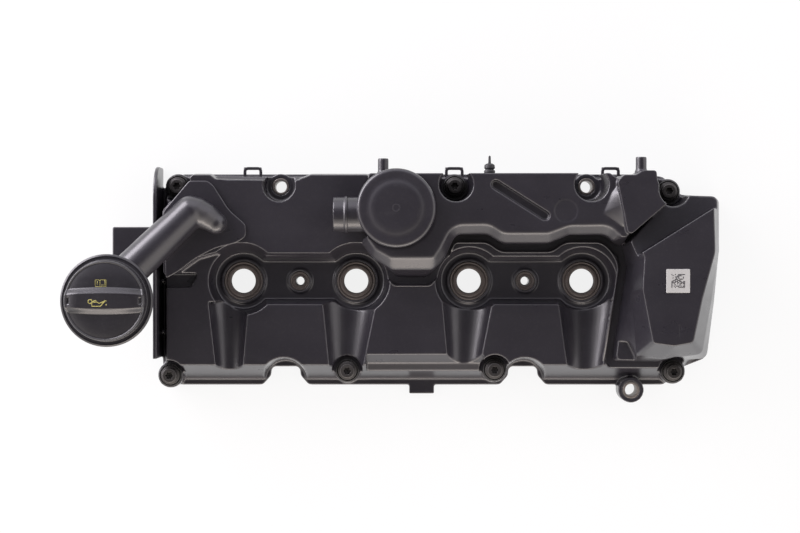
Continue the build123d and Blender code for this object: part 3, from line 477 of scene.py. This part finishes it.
def tube(stations):
    # Round arch over a rounded foot, along a smooth line through the stations, with a domed far end:
    # (w/2 cos a across, spring + h sin a up), where h reaches the top for sin a > 0 and the foot below it
    look = neckShape
    line = np.array(stations, float)
    leg = np.r_[0, np.cumsum(np.linalg.norm(np.diff(line[:, :2], axis=0), axis=1))]
    t = np.linspace(0, leg[-1], look["steps"])
    path = np.stack([np.interp(t, leg, column) for column in line.T], axis=1)
    for _ in range(look["passes"]):
        path[1:-1] = (path[:-2] + 2 * path[1:-1] + path[2:]) / 4
    run = path[-1, :2] - path[-2, :2]
    run /= np.linalg.norm(run)
    a = np.linspace(0, np.pi / 2, look["endSteps"])[1:]
    dome = np.repeat(path[-1:], len(a), axis=0)
    dome[:, :2] += path[-1, 2] / 2 * np.sin(a)[:, None] * run
    size = np.r_[np.ones(len(path)), np.cos(a)]
    path = np.vstack([path, dome])
    ahead = np.gradient(path[:, :2], axis=0)
    side = np.stack([-ahead[:, 1], ahead[:, 0]], axis=1) / np.linalg.norm(ahead, axis=1, keepdims=True)
    angle = np.linspace(0, 2 * np.pi, look["roundSteps"], endpoint=False)
    width, foot, top = path[:, 2] / 2, path[:, 3], path[:, 4]
    spring = foot + look["spring"] * (top - foot)
    reach = np.where(np.sin(angle) > 0, (top - spring)[:, None], (spring - foot)[:, None])
    points = np.empty((len(path) + 1, len(angle), 3))
    across = (size * width)[:, None] * np.cos(angle)
    points[1:, :, :2] = path[:, None, :2] + across[..., None] * side[:, None]
    points[1:, :, 2] = spring[:, None] + size[:, None] * reach * np.sin(angle)
    points[0] = points[1].mean(axis=0)
    return gridMesh("tube", points[None], loopColumns=True)


def neckBody():
    # Flange plate, tube, lobe and collar, which the skin joins
    look = neckShape
    line = rounded(look["flange"], look["flangeCuts"], 6)
    low, high = look["plate"]
    rows = [np.column_stack([line * share + np.array(look["middle"]) * (1 - share), np.full(len(line), z)])
            for share, z in ((0, low), (1, low), (1, high), (0, high))]
    plate = gridMesh("plate", np.stack(rows)[None], loopColumns=True)
    return joined("neckBody", [plate, tube(look["tube"]), tube(look["lobe"]),
                               turned("collar", look["collar"], [look["cap"]])])


shoulderShape = {
    "edge": [(-34.2, 33), (-28.5, 24.4), (-16.8, 18.2), (16, 18.2), (21, 26), (30, 43.2), (58, 43.6),
             (69, 36.7), (103, 36.7), (119, 42.6), (150, 43), (163.4, 29)],
    "bend": 12.0, "reach": 7.5, "depth": 9.0, "height": 36.0, "top": 64.0, "rear": 60.0,
    # How the move fades: with the distance to the edge, behind it, and towards its right end
    "near": 11.0, "nearFade": 3.0, "fade": 5.0, "end": 160.0, "endFade": 4.0}


def slopeShoulder(spot):
    # Broad sloping shoulder along the separator's front edge: at a depth t below the top, the wall moves out
    # along the edge's normal by R (min(t/d, 1) - t/h), so that it reaches its foot line at the depth d
    look = shoulderShape
    line = apart(rounded(look["edge"], look["bend"], 6, False))
    near = (spot[:, 1] < look["rear"]) & (spot[:, 2] > look["top"] - look["height"])
    flat = spot[near, :2]
    gap, inside, out = np.full(len(flat), 1e9), np.zeros(len(flat)), np.zeros_like(flat)
    for start, end in zip(line[:-1], line[1:]):
        leg = end - start
        t = np.clip((flat - start) @ leg / (leg @ leg), 0, 1)
        away = flat - start - t[:, None] * leg
        distance = np.linalg.norm(away, axis=1)
        closer = distance < gap
        normal = np.array([leg[1], -leg[0]]) / np.linalg.norm(leg)
        gap[closer], out[closer] = distance[closer], normal
        inside[closer] = -(away @ normal)[closer]
    depth = np.clip(look["top"] - spot[near, 2], 0, None)
    shift = look["reach"] * (np.minimum(depth / look["depth"], 1) - depth / look["height"])
    fade = np.clip(1 - inside / look["fade"], 0, 1) * np.clip((look["near"] - gap) / look["nearFade"], 0, 1)
    fade = fade * np.clip((look["end"] - flat[:, 0]) / look["endFade"], 0, 1)
    moved = spot.copy()
    moved[near, :2] += (shift * fade)[:, None] * out
    return moved


mouldings = {
    "coverMoulding": ([name for name in nodes if name.startswith("cover_") and name != "cover_bolts"],
                      {"voxel": 0.8 * mm, "relax": 4, "triangles": 195000,
                       "backing": [(-76, -36), (78.3, 80.2), (7, 28.5)]}),
    "separatorMoulding": (["reservoir_shell"], {
        "voxel": 0.6 * mm, "relax": 10, "triangles": 190000, "bend": slopeShoulder, "softRelax": 20,
        "soft": lambda x, y, z: (z > 46) & (y < 46) & (x > -34) & (x < 158)}),
    "neckMoulding": (["oil_filler_neck"], {
        "voxel": 0.6 * mm, "relax": 4, "triangles": 90000, "mesh": neckBody(),
        "softRelax": 30, "soft": lambda x, y, z: z > 47.1}),
    "regulatorCup": (["regulator_housing"], {"voxel": 0.5 * mm, "relax": 3, "triangles": 60000}),
}
for pieceName, (nodeNames, look) in mouldings.items():
    moulded(pieceName, nodeNames, look)

capShape = {
    "centre": (-227.7, -14.1), "steps": 320, "rows": 96, "rimRows": 24, "inner": 26, "outer": 29.7,
    "crown": 114.2, "dome": 110.8, "fall": 2.6, "radius": 29.2,
    "gripTop": 4.6, "gripFoot": 8.2, "gripSwell": (1.0, 2.0), "endStart": 18.5, "endFall": 2.6,
    "flankEase": 0.3, "notch": (25.6, 27.4, 2.6, 1.2), "notchEase": 3,
    "rim": 28.9, "rimWidth": 0.7, "rimHeight": 0.9,
    # From the rim down the wall, over the flange with its bead, and on to the plug below
    "outside": [(29.9, 105.9), (30.0, 99.8), (30.5, 99.3), (32.4, 99.2), (32.8, 99.6), (33.3, 99.6),
                (33.7, 99.2), (34.2, 99.0), (34.5, 98.5), (34.5, 96.6), (33.9, 95.9), (24.6, 95.8),
                (17.5, 95.8), (17.5, 81.8), (15.1, 81.8), (15.1, 95.8), (0, 95.8)],
    # Lugs of the quarter turn: inner and outer reach, half width, chamfer, height, bottom
    "lugs": (16.5, 20.1, 4.5, 0.8, 3.0, 86.0)}


def capTop(u, v):
    # Dome D - f (r/R)^4 with a grip whose half width swells towards the middle by k (1 - (u/R)^2), sloping
    # flanks with soft ends, ends that fall away, a notch in each end, and a bead round the rim
    look = capShape
    r = np.hypot(u, v)
    share = np.clip(1 - (u / look["radius"]) ** 2, 0, 1)
    dome = look["dome"] - look["fall"] * (r / look["radius"]) ** 4
    top = look["gripTop"] + look["gripSwell"][0] * share
    foot = look["gripFoot"] + look["gripSwell"][1] * share
    s = np.clip((foot - np.abs(v)) / (foot - top), 0, 1)
    away = np.clip((np.abs(u) - look["endStart"]) / (look["radius"] - look["endStart"]), 0, 1)
    grip = look["crown"] - look["endFall"] * away ** 2
    near, far, half, depth = look["notch"]
    ease = look["notchEase"]
    sunk = np.clip((np.abs(u) - near) * ease, 0, 1) * np.clip((far - np.abs(u)) * ease, 0, 1)
    sunk = sunk * np.clip((half - np.abs(v)) * ease, 0, 1)
    bead = look["rimHeight"] * np.exp(-((r - look["rim"]) / look["rimWidth"]) ** 2)
    flank = (1 - look["flankEase"]) * s + look["flankEase"] * s * s * (3 - 2 * s)
    return dome + (grip - dome) * flank - depth * sunk + bead


def buildCap():
    # Rings of the top out to the rim, then rings of the outside; and a lug on each side of the plug
    look = capShape
    angle = np.linspace(0, 2 * np.pi, look["steps"], endpoint=False)
    radius = np.r_[np.linspace(0, look["inner"], look["rows"]),
                   np.linspace(look["inner"], look["outer"], look["rimRows"] + 1)[1:]]
    outside = rounded(look["outside"], 0.3, 3, False)
    points = np.empty((1, len(radius) + len(outside), len(angle), 3))
    points[0, :, :, 0] = np.r_[radius, outside[:, 0]][:, None] * np.cos(angle)
    points[0, :, :, 1] = np.r_[radius, outside[:, 0]][:, None] * np.sin(angle)
    points[0, :len(radius), :, 2] = capTop(points[0, :len(radius), :, 0], points[0, :len(radius), :, 1])
    points[0, len(radius):, :, 2] = outside[:, 1:]
    points[..., :2] += look["centre"]
    start, reach, half, chamfer, height, low = look["lugs"]
    meshes = [gridMesh("cap", points, loopColumns=True)]
    for turn in (-1, 1):
        inner, outer = start * turn, reach * turn
        corners = np.array([(inner, -half), (outer, -half + chamfer), (outer, half - chamfer), (inner, half)])
        rows = np.empty((1, 4, 4, 3))
        rows[..., :2] = corners + look["centre"]
        rows[0, (0, 3), :, :2] = corners.mean(axis=0) + look["centre"]
        rows[..., 2] = np.array([low, low, low + height, low + height])[:, None]
        meshes.append(gridMesh("lug", rows, loopColumns=True))
    standIn("fillerCap", joined("fillerCap", meshes), "oil_filler_cap")


buildCap()

# Where the turned pieces stand, as in the solids
injectorCentres = [(x, 0) for x in (-132, -44, 44, 132)]
clampCentres = [(-88, 0), (88, 0)]
captiveCentres = [(-189.2, -73.6), (-50.9, -70.0), (63.9, -69.3), (203.3, -70.7), (-183.3, 73.6),
                  (32.9, 73.6), (199.5, 69.8)]
bareCentres = [(171.0, -85.4), (-103.1, 73.7), (136.1, 73.7)]

sealRing = {"bore": 9.4, "outer": 15.0, "bottom": 18.0, "top": 23.0, "lip": 12.2,
            "clamp": [(3.7, 18), (7.5, 18), (7.5, 21.4), (6.6, 22), (5.9, 21.3), (4.9, 21.3), (4.4, 22),
                      (3.7, 21.6)]}


def buildSeals():
    # Moulded ring with a raised inner lip, a flat groove and a thin outer bead
    ring = sealRing
    bottom, top = ring["bottom"], ring["top"]
    corners = [(ring["bore"], bottom), (ring["outer"], bottom), (ring["outer"], top - 0.9),
               (ring["outer"] - 0.9, top - 0.2), (ring["outer"] - 1.7, top - 1.1),
               (ring["lip"] + 0.6, top - 1.2), (ring["lip"], top), (ring["bore"] + 0.8, top),
               (ring["bore"], top - 0.9)]
    profile = rounded(corners, 0.45, 4)
    for spot, centre in enumerate(injectorCentres):
        standIn(f"injectorRing{spot + 1}", turned("ring", profile, [centre], 144, True),
                f"injector_seal_{spot + 1}")
    clampProfile = rounded(ring["clamp"], 0.3, 4)
    for spot, centre in enumerate(clampCentres):
        standIn(f"clampRing{spot + 1}", turned("ring", clampProfile, [centre], 96, True),
                f"clamp_seal_{spot + 1}")


buildSeals()

boltShape = {"seat": 23.0, "flange": 7.2, "head": 5.5, "top": 30.6, "shank": 3.0, "tip": 4.6, "socket": 2.7,
             "lobes": 6, "lobeDepth": 0.28, "lobeWidth": 0.5, "socketDepth": 3.2, "steps": 96,
             "bareSteps": 128,
             "bush": [(3.4, 20), (9.0, 20), (9.0, 22.2), (8.3, 23), (7.7, 22.3), (7.4, 22.3), (7.3, 22.95),
                      (3.4, 22.95)],
             "sleeve": [(3.4, 0), (4.9, 0), (4.9, 20), (3.4, 20)],
             "bare": [(4.7, 0), (6.6, 0), (6.6, 20), (4.7, 20)]}


def buildBolts():
    # Turned head, flange and shank; the socket's radius is r + d cos(6a), which fades out to the head's rim
    look = boltShape
    head = rounded([(look["socket"], look["top"] - look["socketDepth"]), (look["socket"], look["top"]),
                    (look["head"], look["top"]), (look["head"], look["seat"] + 2.0),
                    (look["flange"], look["seat"] + 1.4), (look["flange"], look["seat"]),
                    (look["shank"], look["seat"]), (look["shank"], look["tip"] + 1),
                    (look["shank"] - 1, look["tip"])], [0, 0.25, 0.7, 0.5, 0.35, 0.2, 0, 0.3, 0], 4, False)
    profile = np.vstack([[0, head[0, 1]], head, [0, head[-1, 1]]])
    angle = np.linspace(0, 2 * np.pi, look["steps"], endpoint=False)
    lobed = np.exp(-((profile[:, 0] - look["socket"]) / look["lobeWidth"]) ** 2)
    lobed *= profile[:, 1] > look["top"] - look["socketDepth"] - 0.1
    ripple = look["lobeDepth"] * lobed[:, None] * np.cos(look["lobes"] * angle)
    standIn("captiveBolts", turned("captiveBolts", profile, captiveCentres, look["steps"], ripple=ripple),
            "cover_bolts")
    bush, sleeve = rounded(look["bush"], 0.25, 4), rounded(look["sleeve"], 0.25, 3)
    bare = rounded(look["bare"], 0.35, 4)
    for name, ring, centres, steps, node in (
            ("rubberBushes", bush, captiveCentres, look["steps"], "bolt_grommets"),
            ("captiveSleeves", sleeve, captiveCentres, look["steps"], "bolt_sleeves"),
            ("bareSleeves", bare, bareCentres, look["bareSteps"], "bare_sleeves")):
        standIn(name, turned(name, ring, centres, steps, True), node)


buildBolts()

lidShape = {"centre": (-12.6, 55.3), "skirt": 28.05, "radius": 29.9, "foot": 72.3, "seat": 78.9,
            "inside": 80.8, "shoulder": 82.5, "plateau": 19.2, "top": 84.0, "ring": 2.6, "wall": 3.4,
            "lift": 1.8}


def buildLid():
    # Snap lid: skirt, rolled shoulder, raised plateau with a shallow dish and a moulding mark in the middle
    look = lidShape
    lifted, inner = look["inside"] + look["lift"], look["skirt"] - look["wall"]
    corners = [(0, lifted), (look["plateau"] - 1.7, lifted),
               (look["plateau"] - 1.7, look["inside"]), (inner, look["inside"]),
               (inner, look["seat"]), (look["skirt"], look["seat"]),
               (look["skirt"], look["foot"]), (look["radius"], look["foot"]),
               (look["radius"], look["shoulder"]), (look["plateau"] + 3.0, look["shoulder"]),
               (look["plateau"] - 2.0, look["top"]), (look["ring"] + 0.5, look["top"]),
               (look["ring"], look["top"] + 0.17), (look["ring"] - 0.5, look["top"]), (0, look["top"])]
    cuts = [0, 0.3, 0.3, 0.3, 0.3, 0.2, 0.2, 0.3, 4.2, 2.0, 2.4, 0.2, 0.2, 0.2, 0]
    profile = rounded(corners, cuts, 9, False)
    standIn("regulatorCover", turned("regulatorCover", profile, [look["centre"]], 200), "regulator_lid")


buildLid()
report("turned pieces")

loopShape = {"centres": (-125.0, 32.7, 155.0), "width": 14.5, "root": 80.0, "reach": 89.0, "height": 18.65,
             "wire": 1.05, "bend": 2.6, "strip": [(-1.15, -1.1), (1.15, -1.1), (1.15, 1.1), (-1.15, 1.1)]}


def buildLoops():
    # Flat strip carried along a U with round corners
    look = loopShape
    half = (look["width"] - 2 * look["wire"]) / 2
    far = look["reach"] - look["wire"]
    corners = [(-half, look["root"]), (-half, far), (half, far), (half, look["root"])]
    bends = apart(rounded(corners, look["bend"], 8, False))
    paths = [np.column_stack([bends + (x, 0), np.full(len(bends), look["height"])]) for x in look["centres"]]
    strip = rounded(look["strip"], 0.25, 3)
    points = np.stack([swept(path, strip) for path in paths])
    place("retainingLoops", gridMesh("retainingLoops", points, loopColumns=True), "cover", "body_plastic")


buildLoops()

pegShape = {"x": 60.3, "height": 20.0, "start": 81.2, "tip": 98.0, "root": 1.6,
            "fins": [(1.8, 83.4), (4.3, 84.4), (4.4, 86.2), (3.4, 86.7), (3.4, 87.4), (4.3, 88.0),
                     (4.0, 90.6), (2.6, 91.6), (1.1, 92.0), (0.9, 97.2), (0.3, 98.0)]}


def buildPeg():
    # Fir-tree peg turned about the line that points to the rear: (x + r cos a, y, z + r sin a)
    look = pegShape
    profile = rounded([(look["root"], look["start"])] + look["fins"], 0.25, 3, False)
    profile = np.vstack([[0, look["start"]], profile, [0, look["tip"]]])
    angle = np.linspace(0, 2 * np.pi, 40, endpoint=False)
    points = np.empty((1, len(profile), len(angle), 3))
    points[..., 0] = look["x"] + profile[:, :1] * np.cos(angle)
    points[..., 1] = profile[:, 1:]
    points[..., 2] = look["height"] + profile[:, :1] * np.sin(angle)
    standIn("harnessPeg", gridMesh("harnessPeg", points, loopColumns=True), "harness_peg")


buildPeg()

gasketShape = {
    "line": [(-176, -57), (214, -57), (222, -45), (227, 22), (227, 56), (186, 58), (-178, 58), (-186, 48),
             (-186, -48)],
    "cuts": [5, 5, 6, 6, 4, 5, 6, 4, 4], "width": 4.0, "bottom": -1.0, "top": 2.4}


def buildGasket():
    # Rubber bead with two lips below and two small crush ribs on each side, carried round the outline
    look = gasketShape
    line = rounded(look["line"], look["cuts"], 8)
    path = np.column_stack([line, np.zeros(len(line))])
    wide, low, high = look["width"], look["bottom"], look["top"]
    section = rounded([(0.2, low + 0.6), (0.9, low), (1.6, low + 0.6), (2.4, low + 0.6), (3.1, low),
                       (3.8, low + 0.6), (wide, 0.6), (3.7, 1.2), (wide, 1.8), (3.4, high), (0.6, high),
                       (0, 1.8), (0.3, 1.2), (0, 0.6)], 0.3, 3)
    points = swept(path, section, closed=True)[None]
    standIn("flangeGasket", gridMesh("flangeGasket", points, loopRows=True, loopColumns=True),
            "perimeter_gasket")


buildGasket()

lipShape = {
    "lines": [[(-18, -0.2), (-14.6, -3.8), (13.6, -3.8), (17.6, 0.4)],
              [(30, 23), (32.6, 29.7), (58, 29.7), (68, 22.2), (108.1, 22.2), (118.1, 29.7), (146.5, 29.7),
               (154.7, 22), (159.6, 12), (156.7, -9), (147.8, -62)]],
    "bend": 5.0, "radius": 0.75, "height": 33.8}


def buildLips():
    # Weld lips: round beads carried along the outer rim of the trench
    look = lipShape
    meshes = []
    for corners in look["lines"]:
        line = rounded(corners, look["bend"], 8, False)
        path = apart(np.column_stack([line, np.full(len(line), look["height"])]))
        meshes.append(gridMesh("lip", swept(path, disc(look["radius"]))[None], loopColumns=True))
    place("weldLips", joined("weldLips", meshes), "cover", "body_plastic")


buildLips()


symbolShape = {
    "can": {"centre": (-232.0, -15.4, 114.2), "stroke": 0.33, "ring": (1.45, -5.4, 0.9),
            "lines": [[(-4.1, 0.4), (-4.1, -2.6), (2.2, -2.6), (5.6, 1.5), (6.6, 1.1)],
                      [(-4.3, 0.5), (-0.6, 0.5), (1.3, -0.4), (3.6, 0.4), (5.4, 1.5)],
                      [(-2.9, 0.5), (-2.6, 1.5), (-0.8, 1.7)], [(6.4, -0.9), (6.4, -1.9)]]},
    "book": {"centre": (-230.2, -1.0, 110.7), "stroke": 0.2,
             "lines": [[(-4.0, -2.6), (-4.0, 2.3), (-1.2, 2.3), (-0.5, 1.9), (-0.5, -2.9), (-1.2, -2.5),
                        (-4.0, -2.6)],
                       [(-0.5, 1.9), (0.2, 2.3), (4.0, 2.3), (4.0, -2.6), (0.2, -2.5), (-0.5, -2.9)],
                       [(3.2, 2.2), (3.2, -2.5)], [(0.6, -1.4), (2.6, -1.4)], [(-2.4, 1.4), (-2.4, -1.6)]]},
    "strokeSteps": 10, "strokeFlat": 0.45}


def buildSymbols():
    # Painted pictograms on the cap: an oil can on the grip and an open book behind it, as rounded strokes
    size, x, y = symbolShape["can"]["ring"]
    ring = disc(size, 20) + (x, y)
    handle = [np.vstack([ring, ring[:1]])]
    meshes = []
    for look, rings in ((symbolShape["can"], handle), (symbolShape["book"], [])):
        for line in rings + look["lines"]:
            flat = np.array(line, float)
            path = np.column_stack([flat, np.zeros(len(flat))]) + look["centre"]
            section = disc(look["stroke"], symbolShape["strokeSteps"], symbolShape["strokeFlat"])
            meshes.append(gridMesh("stroke", swept(path, section)[None], loopColumns=True))
    place("capSymbols", joined("capSymbols", meshes), "cap", "cap_plastic", paints["symbolPaint"])


buildSymbols()

labelShape = {"centre": (200.2, 0.3), "side": 17.9, "base": 73.9, "thickness": 0.35, "print": 10.4,
              "cells": 12, "gap": 0.04, "sunk": -0.02, "raised": 0.03,
              # Share of the plate's side and of its thickness, ring by ring
              "levels": [(0, 0), (0.97, 0), (1, 0), (1, 0.8), (0.985, 1), (0.95, 1), (0, 1)]}


def buildLabel():
    # Film plate with soft edges, and on it a made-up block pattern: cell (i, j) is dark where
    # (7i^2 + 3j^3 + 5ij + 2i) mod 11 is below 6
    look = labelShape
    half, (x, y) = look["side"] / 2, look["centre"]
    square = rounded([(-half, -half), (half, -half), (half, half), (-half, half)], 0.8, 5)
    levels = np.array(look["levels"], float)
    points = np.empty((1, len(levels), len(square), 3))
    points[..., :2] = levels[:, :1, None] * square + (x, y)
    points[..., 2] = look["base"] + levels[:, 1:] * look["thickness"]
    plate = gridMesh("labelPlate", points, loopColumns=True)
    place("labelPlate", plate, "cover", "body_plastic", paints["labelFilm"], smooth=False)
    i, j = np.meshgrid(np.arange(look["cells"]), np.arange(look["cells"]), indexing="ij")
    dark = (7 * i ** 2 + 3 * j ** 3 + 5 * i * j + 2 * i) % 11 < 6
    cell = look["print"] / look["cells"]
    gap = look["gap"] * cell
    low = np.stack([i[dark], j[dark]], axis=1) * cell - look["print"] / 2 + (x, y)
    top = look["base"] + look["thickness"]
    step = np.array([[(0, 0), (0, 1), (1, 1), (1, 0)]] * 4, float) * cell
    lift = np.array([look["sunk"], look["raised"], look["raised"], look["sunk"]])
    shrink = np.array([1.0, 1.0, 0.0, 0.0])[:, None, None]
    middle = np.array([0.5, 0.5]) * cell
    rings = middle + (step - middle) * shrink * (1 - gap / cell)
    blocks = np.empty((len(low), 4, 4, 3))
    blocks[..., :2] = low[:, None, None] + rings
    blocks[..., 2] = top + lift[:, None]
    prints = gridMesh("labelPrint", blocks, loopRows=True, loopColumns=True)
    place("labelPrint", prints, "cover", "body_plastic", paints["labelPrint"], smooth=False)


buildLabel()
report("small pieces")

studio = {
    "cameraPlace": (-9.8 * mm, 11.2 * mm, 1550 * mm), "lens": 87.98, "sensor": 36,
    "floorHeight": -1.2 * mm, "floorSize": 8.0, "floorWhite": 0.86, "floorGrey": 0.9,
    "horizon": 1.4, "zenith": 0.12, "tent": 1.6, "opening": (0.62, 0.86), "wall": (0.0, 0.5),
    "warm": (1.0, 0.93, 0.87, 1), "cool": (0.95, 0.92, 1.0, 1), "tintSpan": (-0.6, 0.6),
    "aim": (0, 0, 0.03),
    # Name, place, size, power and colour of each softbox
    "boxes": [("frontBox", (0.1, -1.5, 0.4), (1.8, 0.5), 12, (1.0, 0.89, 0.82)),
              ("leftBox", (-1.3, 0.9, 0.4), (1.7, 1.0), 40, (0.98, 0.93, 1.0))],
}


def brightMask(tree):
    # One for camera, glossy and transmission rays
    path = newNode(tree, "ShaderNodeLightPath")
    bright = path.outputs["Is Camera Ray"]
    for kind in ("Is Glossy Ray", "Is Transmission Ray"):
        either = newNode(tree, "ShaderNodeMath", sources={0: bright, 1: path.outputs[kind]},
                         operation="MAXIMUM")
        bright = either.outputs["Value"]
    return bright


def buildFloor():
    # Pale floor that mostly glows white where the camera or a reflection sees it
    mesh = bpy.data.meshes.new("floor")
    half, height = studio["floorSize"] / 2, studio["floorHeight"]
    mesh.from_pydata([(-half, -half, height), (half, -half, height), (half, half, height),
                      (-half, half, height)], [], [(0, 1, 2, 3)])
    floor = bpy.data.objects.new("floor", mesh)
    bpy.context.scene.collection.objects.link(floor)
    material = bpy.data.materials.new("paleFloor")
    material.use_nodes = True
    tree = material.node_tree
    shader = tree.nodes["Principled BSDF"]
    shader.inputs["Base Color"].default_value = (*[studio["floorGrey"]] * 3, 1)
    shader.inputs["Roughness"].default_value = 0.9
    shader.inputs["Specular IOR Level"].default_value = 0.0
    glow = newNode(tree, "ShaderNodeEmission", {"Strength": 1.0})
    seen = newNode(tree, "ShaderNodeMath", {1: studio["floorWhite"]}, {0: brightMask(tree)},
                   operation="MULTIPLY")
    mix = newNode(tree, "ShaderNodeMixShader", sources={
        "Fac": seen.outputs["Value"], 1: shader.outputs["BSDF"], 2: glow.outputs["Emission"]})
    tree.links.new(mix.outputs["Shader"], tree.nodes["Material Output"].inputs["Surface"])
    mesh.materials.append(material)


def buildWorld():
    # A light tent with a dark opening overhead: strength by height z is the opening's ramp times the wall's,
    # warmer at the front and cooler at the rear, and plain white for the camera
    world = bpy.data.worlds.new("tent")
    bpy.context.scene.world = world
    world.use_nodes = True
    tree = world.node_tree
    background = tree.nodes["Background"]
    spot = newNode(tree, "ShaderNodeTexCoord")
    split = newNode(tree, "ShaderNodeSeparateXYZ", sources={"Vector": spot.outputs["Generated"]})
    ramps = []
    for (fromMin, fromMax), toMin, toMax in (
            (studio["opening"], studio["tent"], studio["zenith"]),
            (studio["wall"], studio["horizon"] / studio["tent"], 1.0)):
        ramps.append(newNode(tree, "ShaderNodeMapRange", {
            "From Min": fromMin, "From Max": fromMax, "To Min": toMin, "To Max": toMax},
            {"Value": split.outputs["Z"]}).outputs["Result"])
    height = newNode(tree, "ShaderNodeMath", sources={0: ramps[0], 1: ramps[1]}, operation="MULTIPLY")
    seen = newNode(tree, "ShaderNodeLightPath").outputs["Is Camera Ray"]
    strength = newNode(tree, "ShaderNodeMix", {3: 1.0}, {0: seen, 2: height.outputs["Value"]},
                       data_type="FLOAT")
    front, rear = studio["tintSpan"]
    across = newNode(tree, "ShaderNodeMapRange", {"From Min": front, "From Max": rear},
                     {"Value": split.outputs["Y"]})
    tint = newNode(tree, "ShaderNodeMix", data_type="RGBA")
    shown = newNode(tree, "ShaderNodeMix", data_type="RGBA")
    tint.inputs[6].default_value, tint.inputs[7].default_value = studio["warm"], studio["cool"]
    shown.inputs[7].default_value = (1, 1, 1, 1)
    for output, socket in (
            (across.outputs["Result"], tint.inputs[0]), (seen, shown.inputs[0]),
            (tint.outputs[2], shown.inputs[6]), (shown.outputs[2], background.inputs["Color"]),
            (strength.outputs[0], background.inputs["Strength"])):
        tree.links.new(output, socket)


def softbox(name, spot, size, power, colour):
    # Flat rectangular light that looks at the part
    light = bpy.data.lights.new(name, "AREA")
    light.shape = "RECTANGLE"
    light.size, light.size_y = size
    light.energy = power
    light.color = colour
    lamp = bpy.data.objects.new(name, light)
    bpy.context.scene.collection.objects.link(lamp)
    lamp.location = spot
    direction = np.array(studio["aim"]) - np.array(spot)
    lamp.rotation_euler = Vector(direction).to_track_quat("-Z", "Y").to_euler()


buildFloor()
buildWorld()
for box in studio["boxes"]:
    softbox(*box)

camera = bpy.data.objects.new("camera", bpy.data.cameras.new("camera"))
bpy.context.scene.collection.objects.link(camera)
camera.location = studio["cameraPlace"]
camera.rotation_euler = (0, 0, 0)
camera.data.lens = studio["lens"]
camera.data.sensor_width = studio["sensor"]
bpy.context.scene.camera = camera
bpy.context.scene.view_settings.view_transform = "Standard"
report("studio")
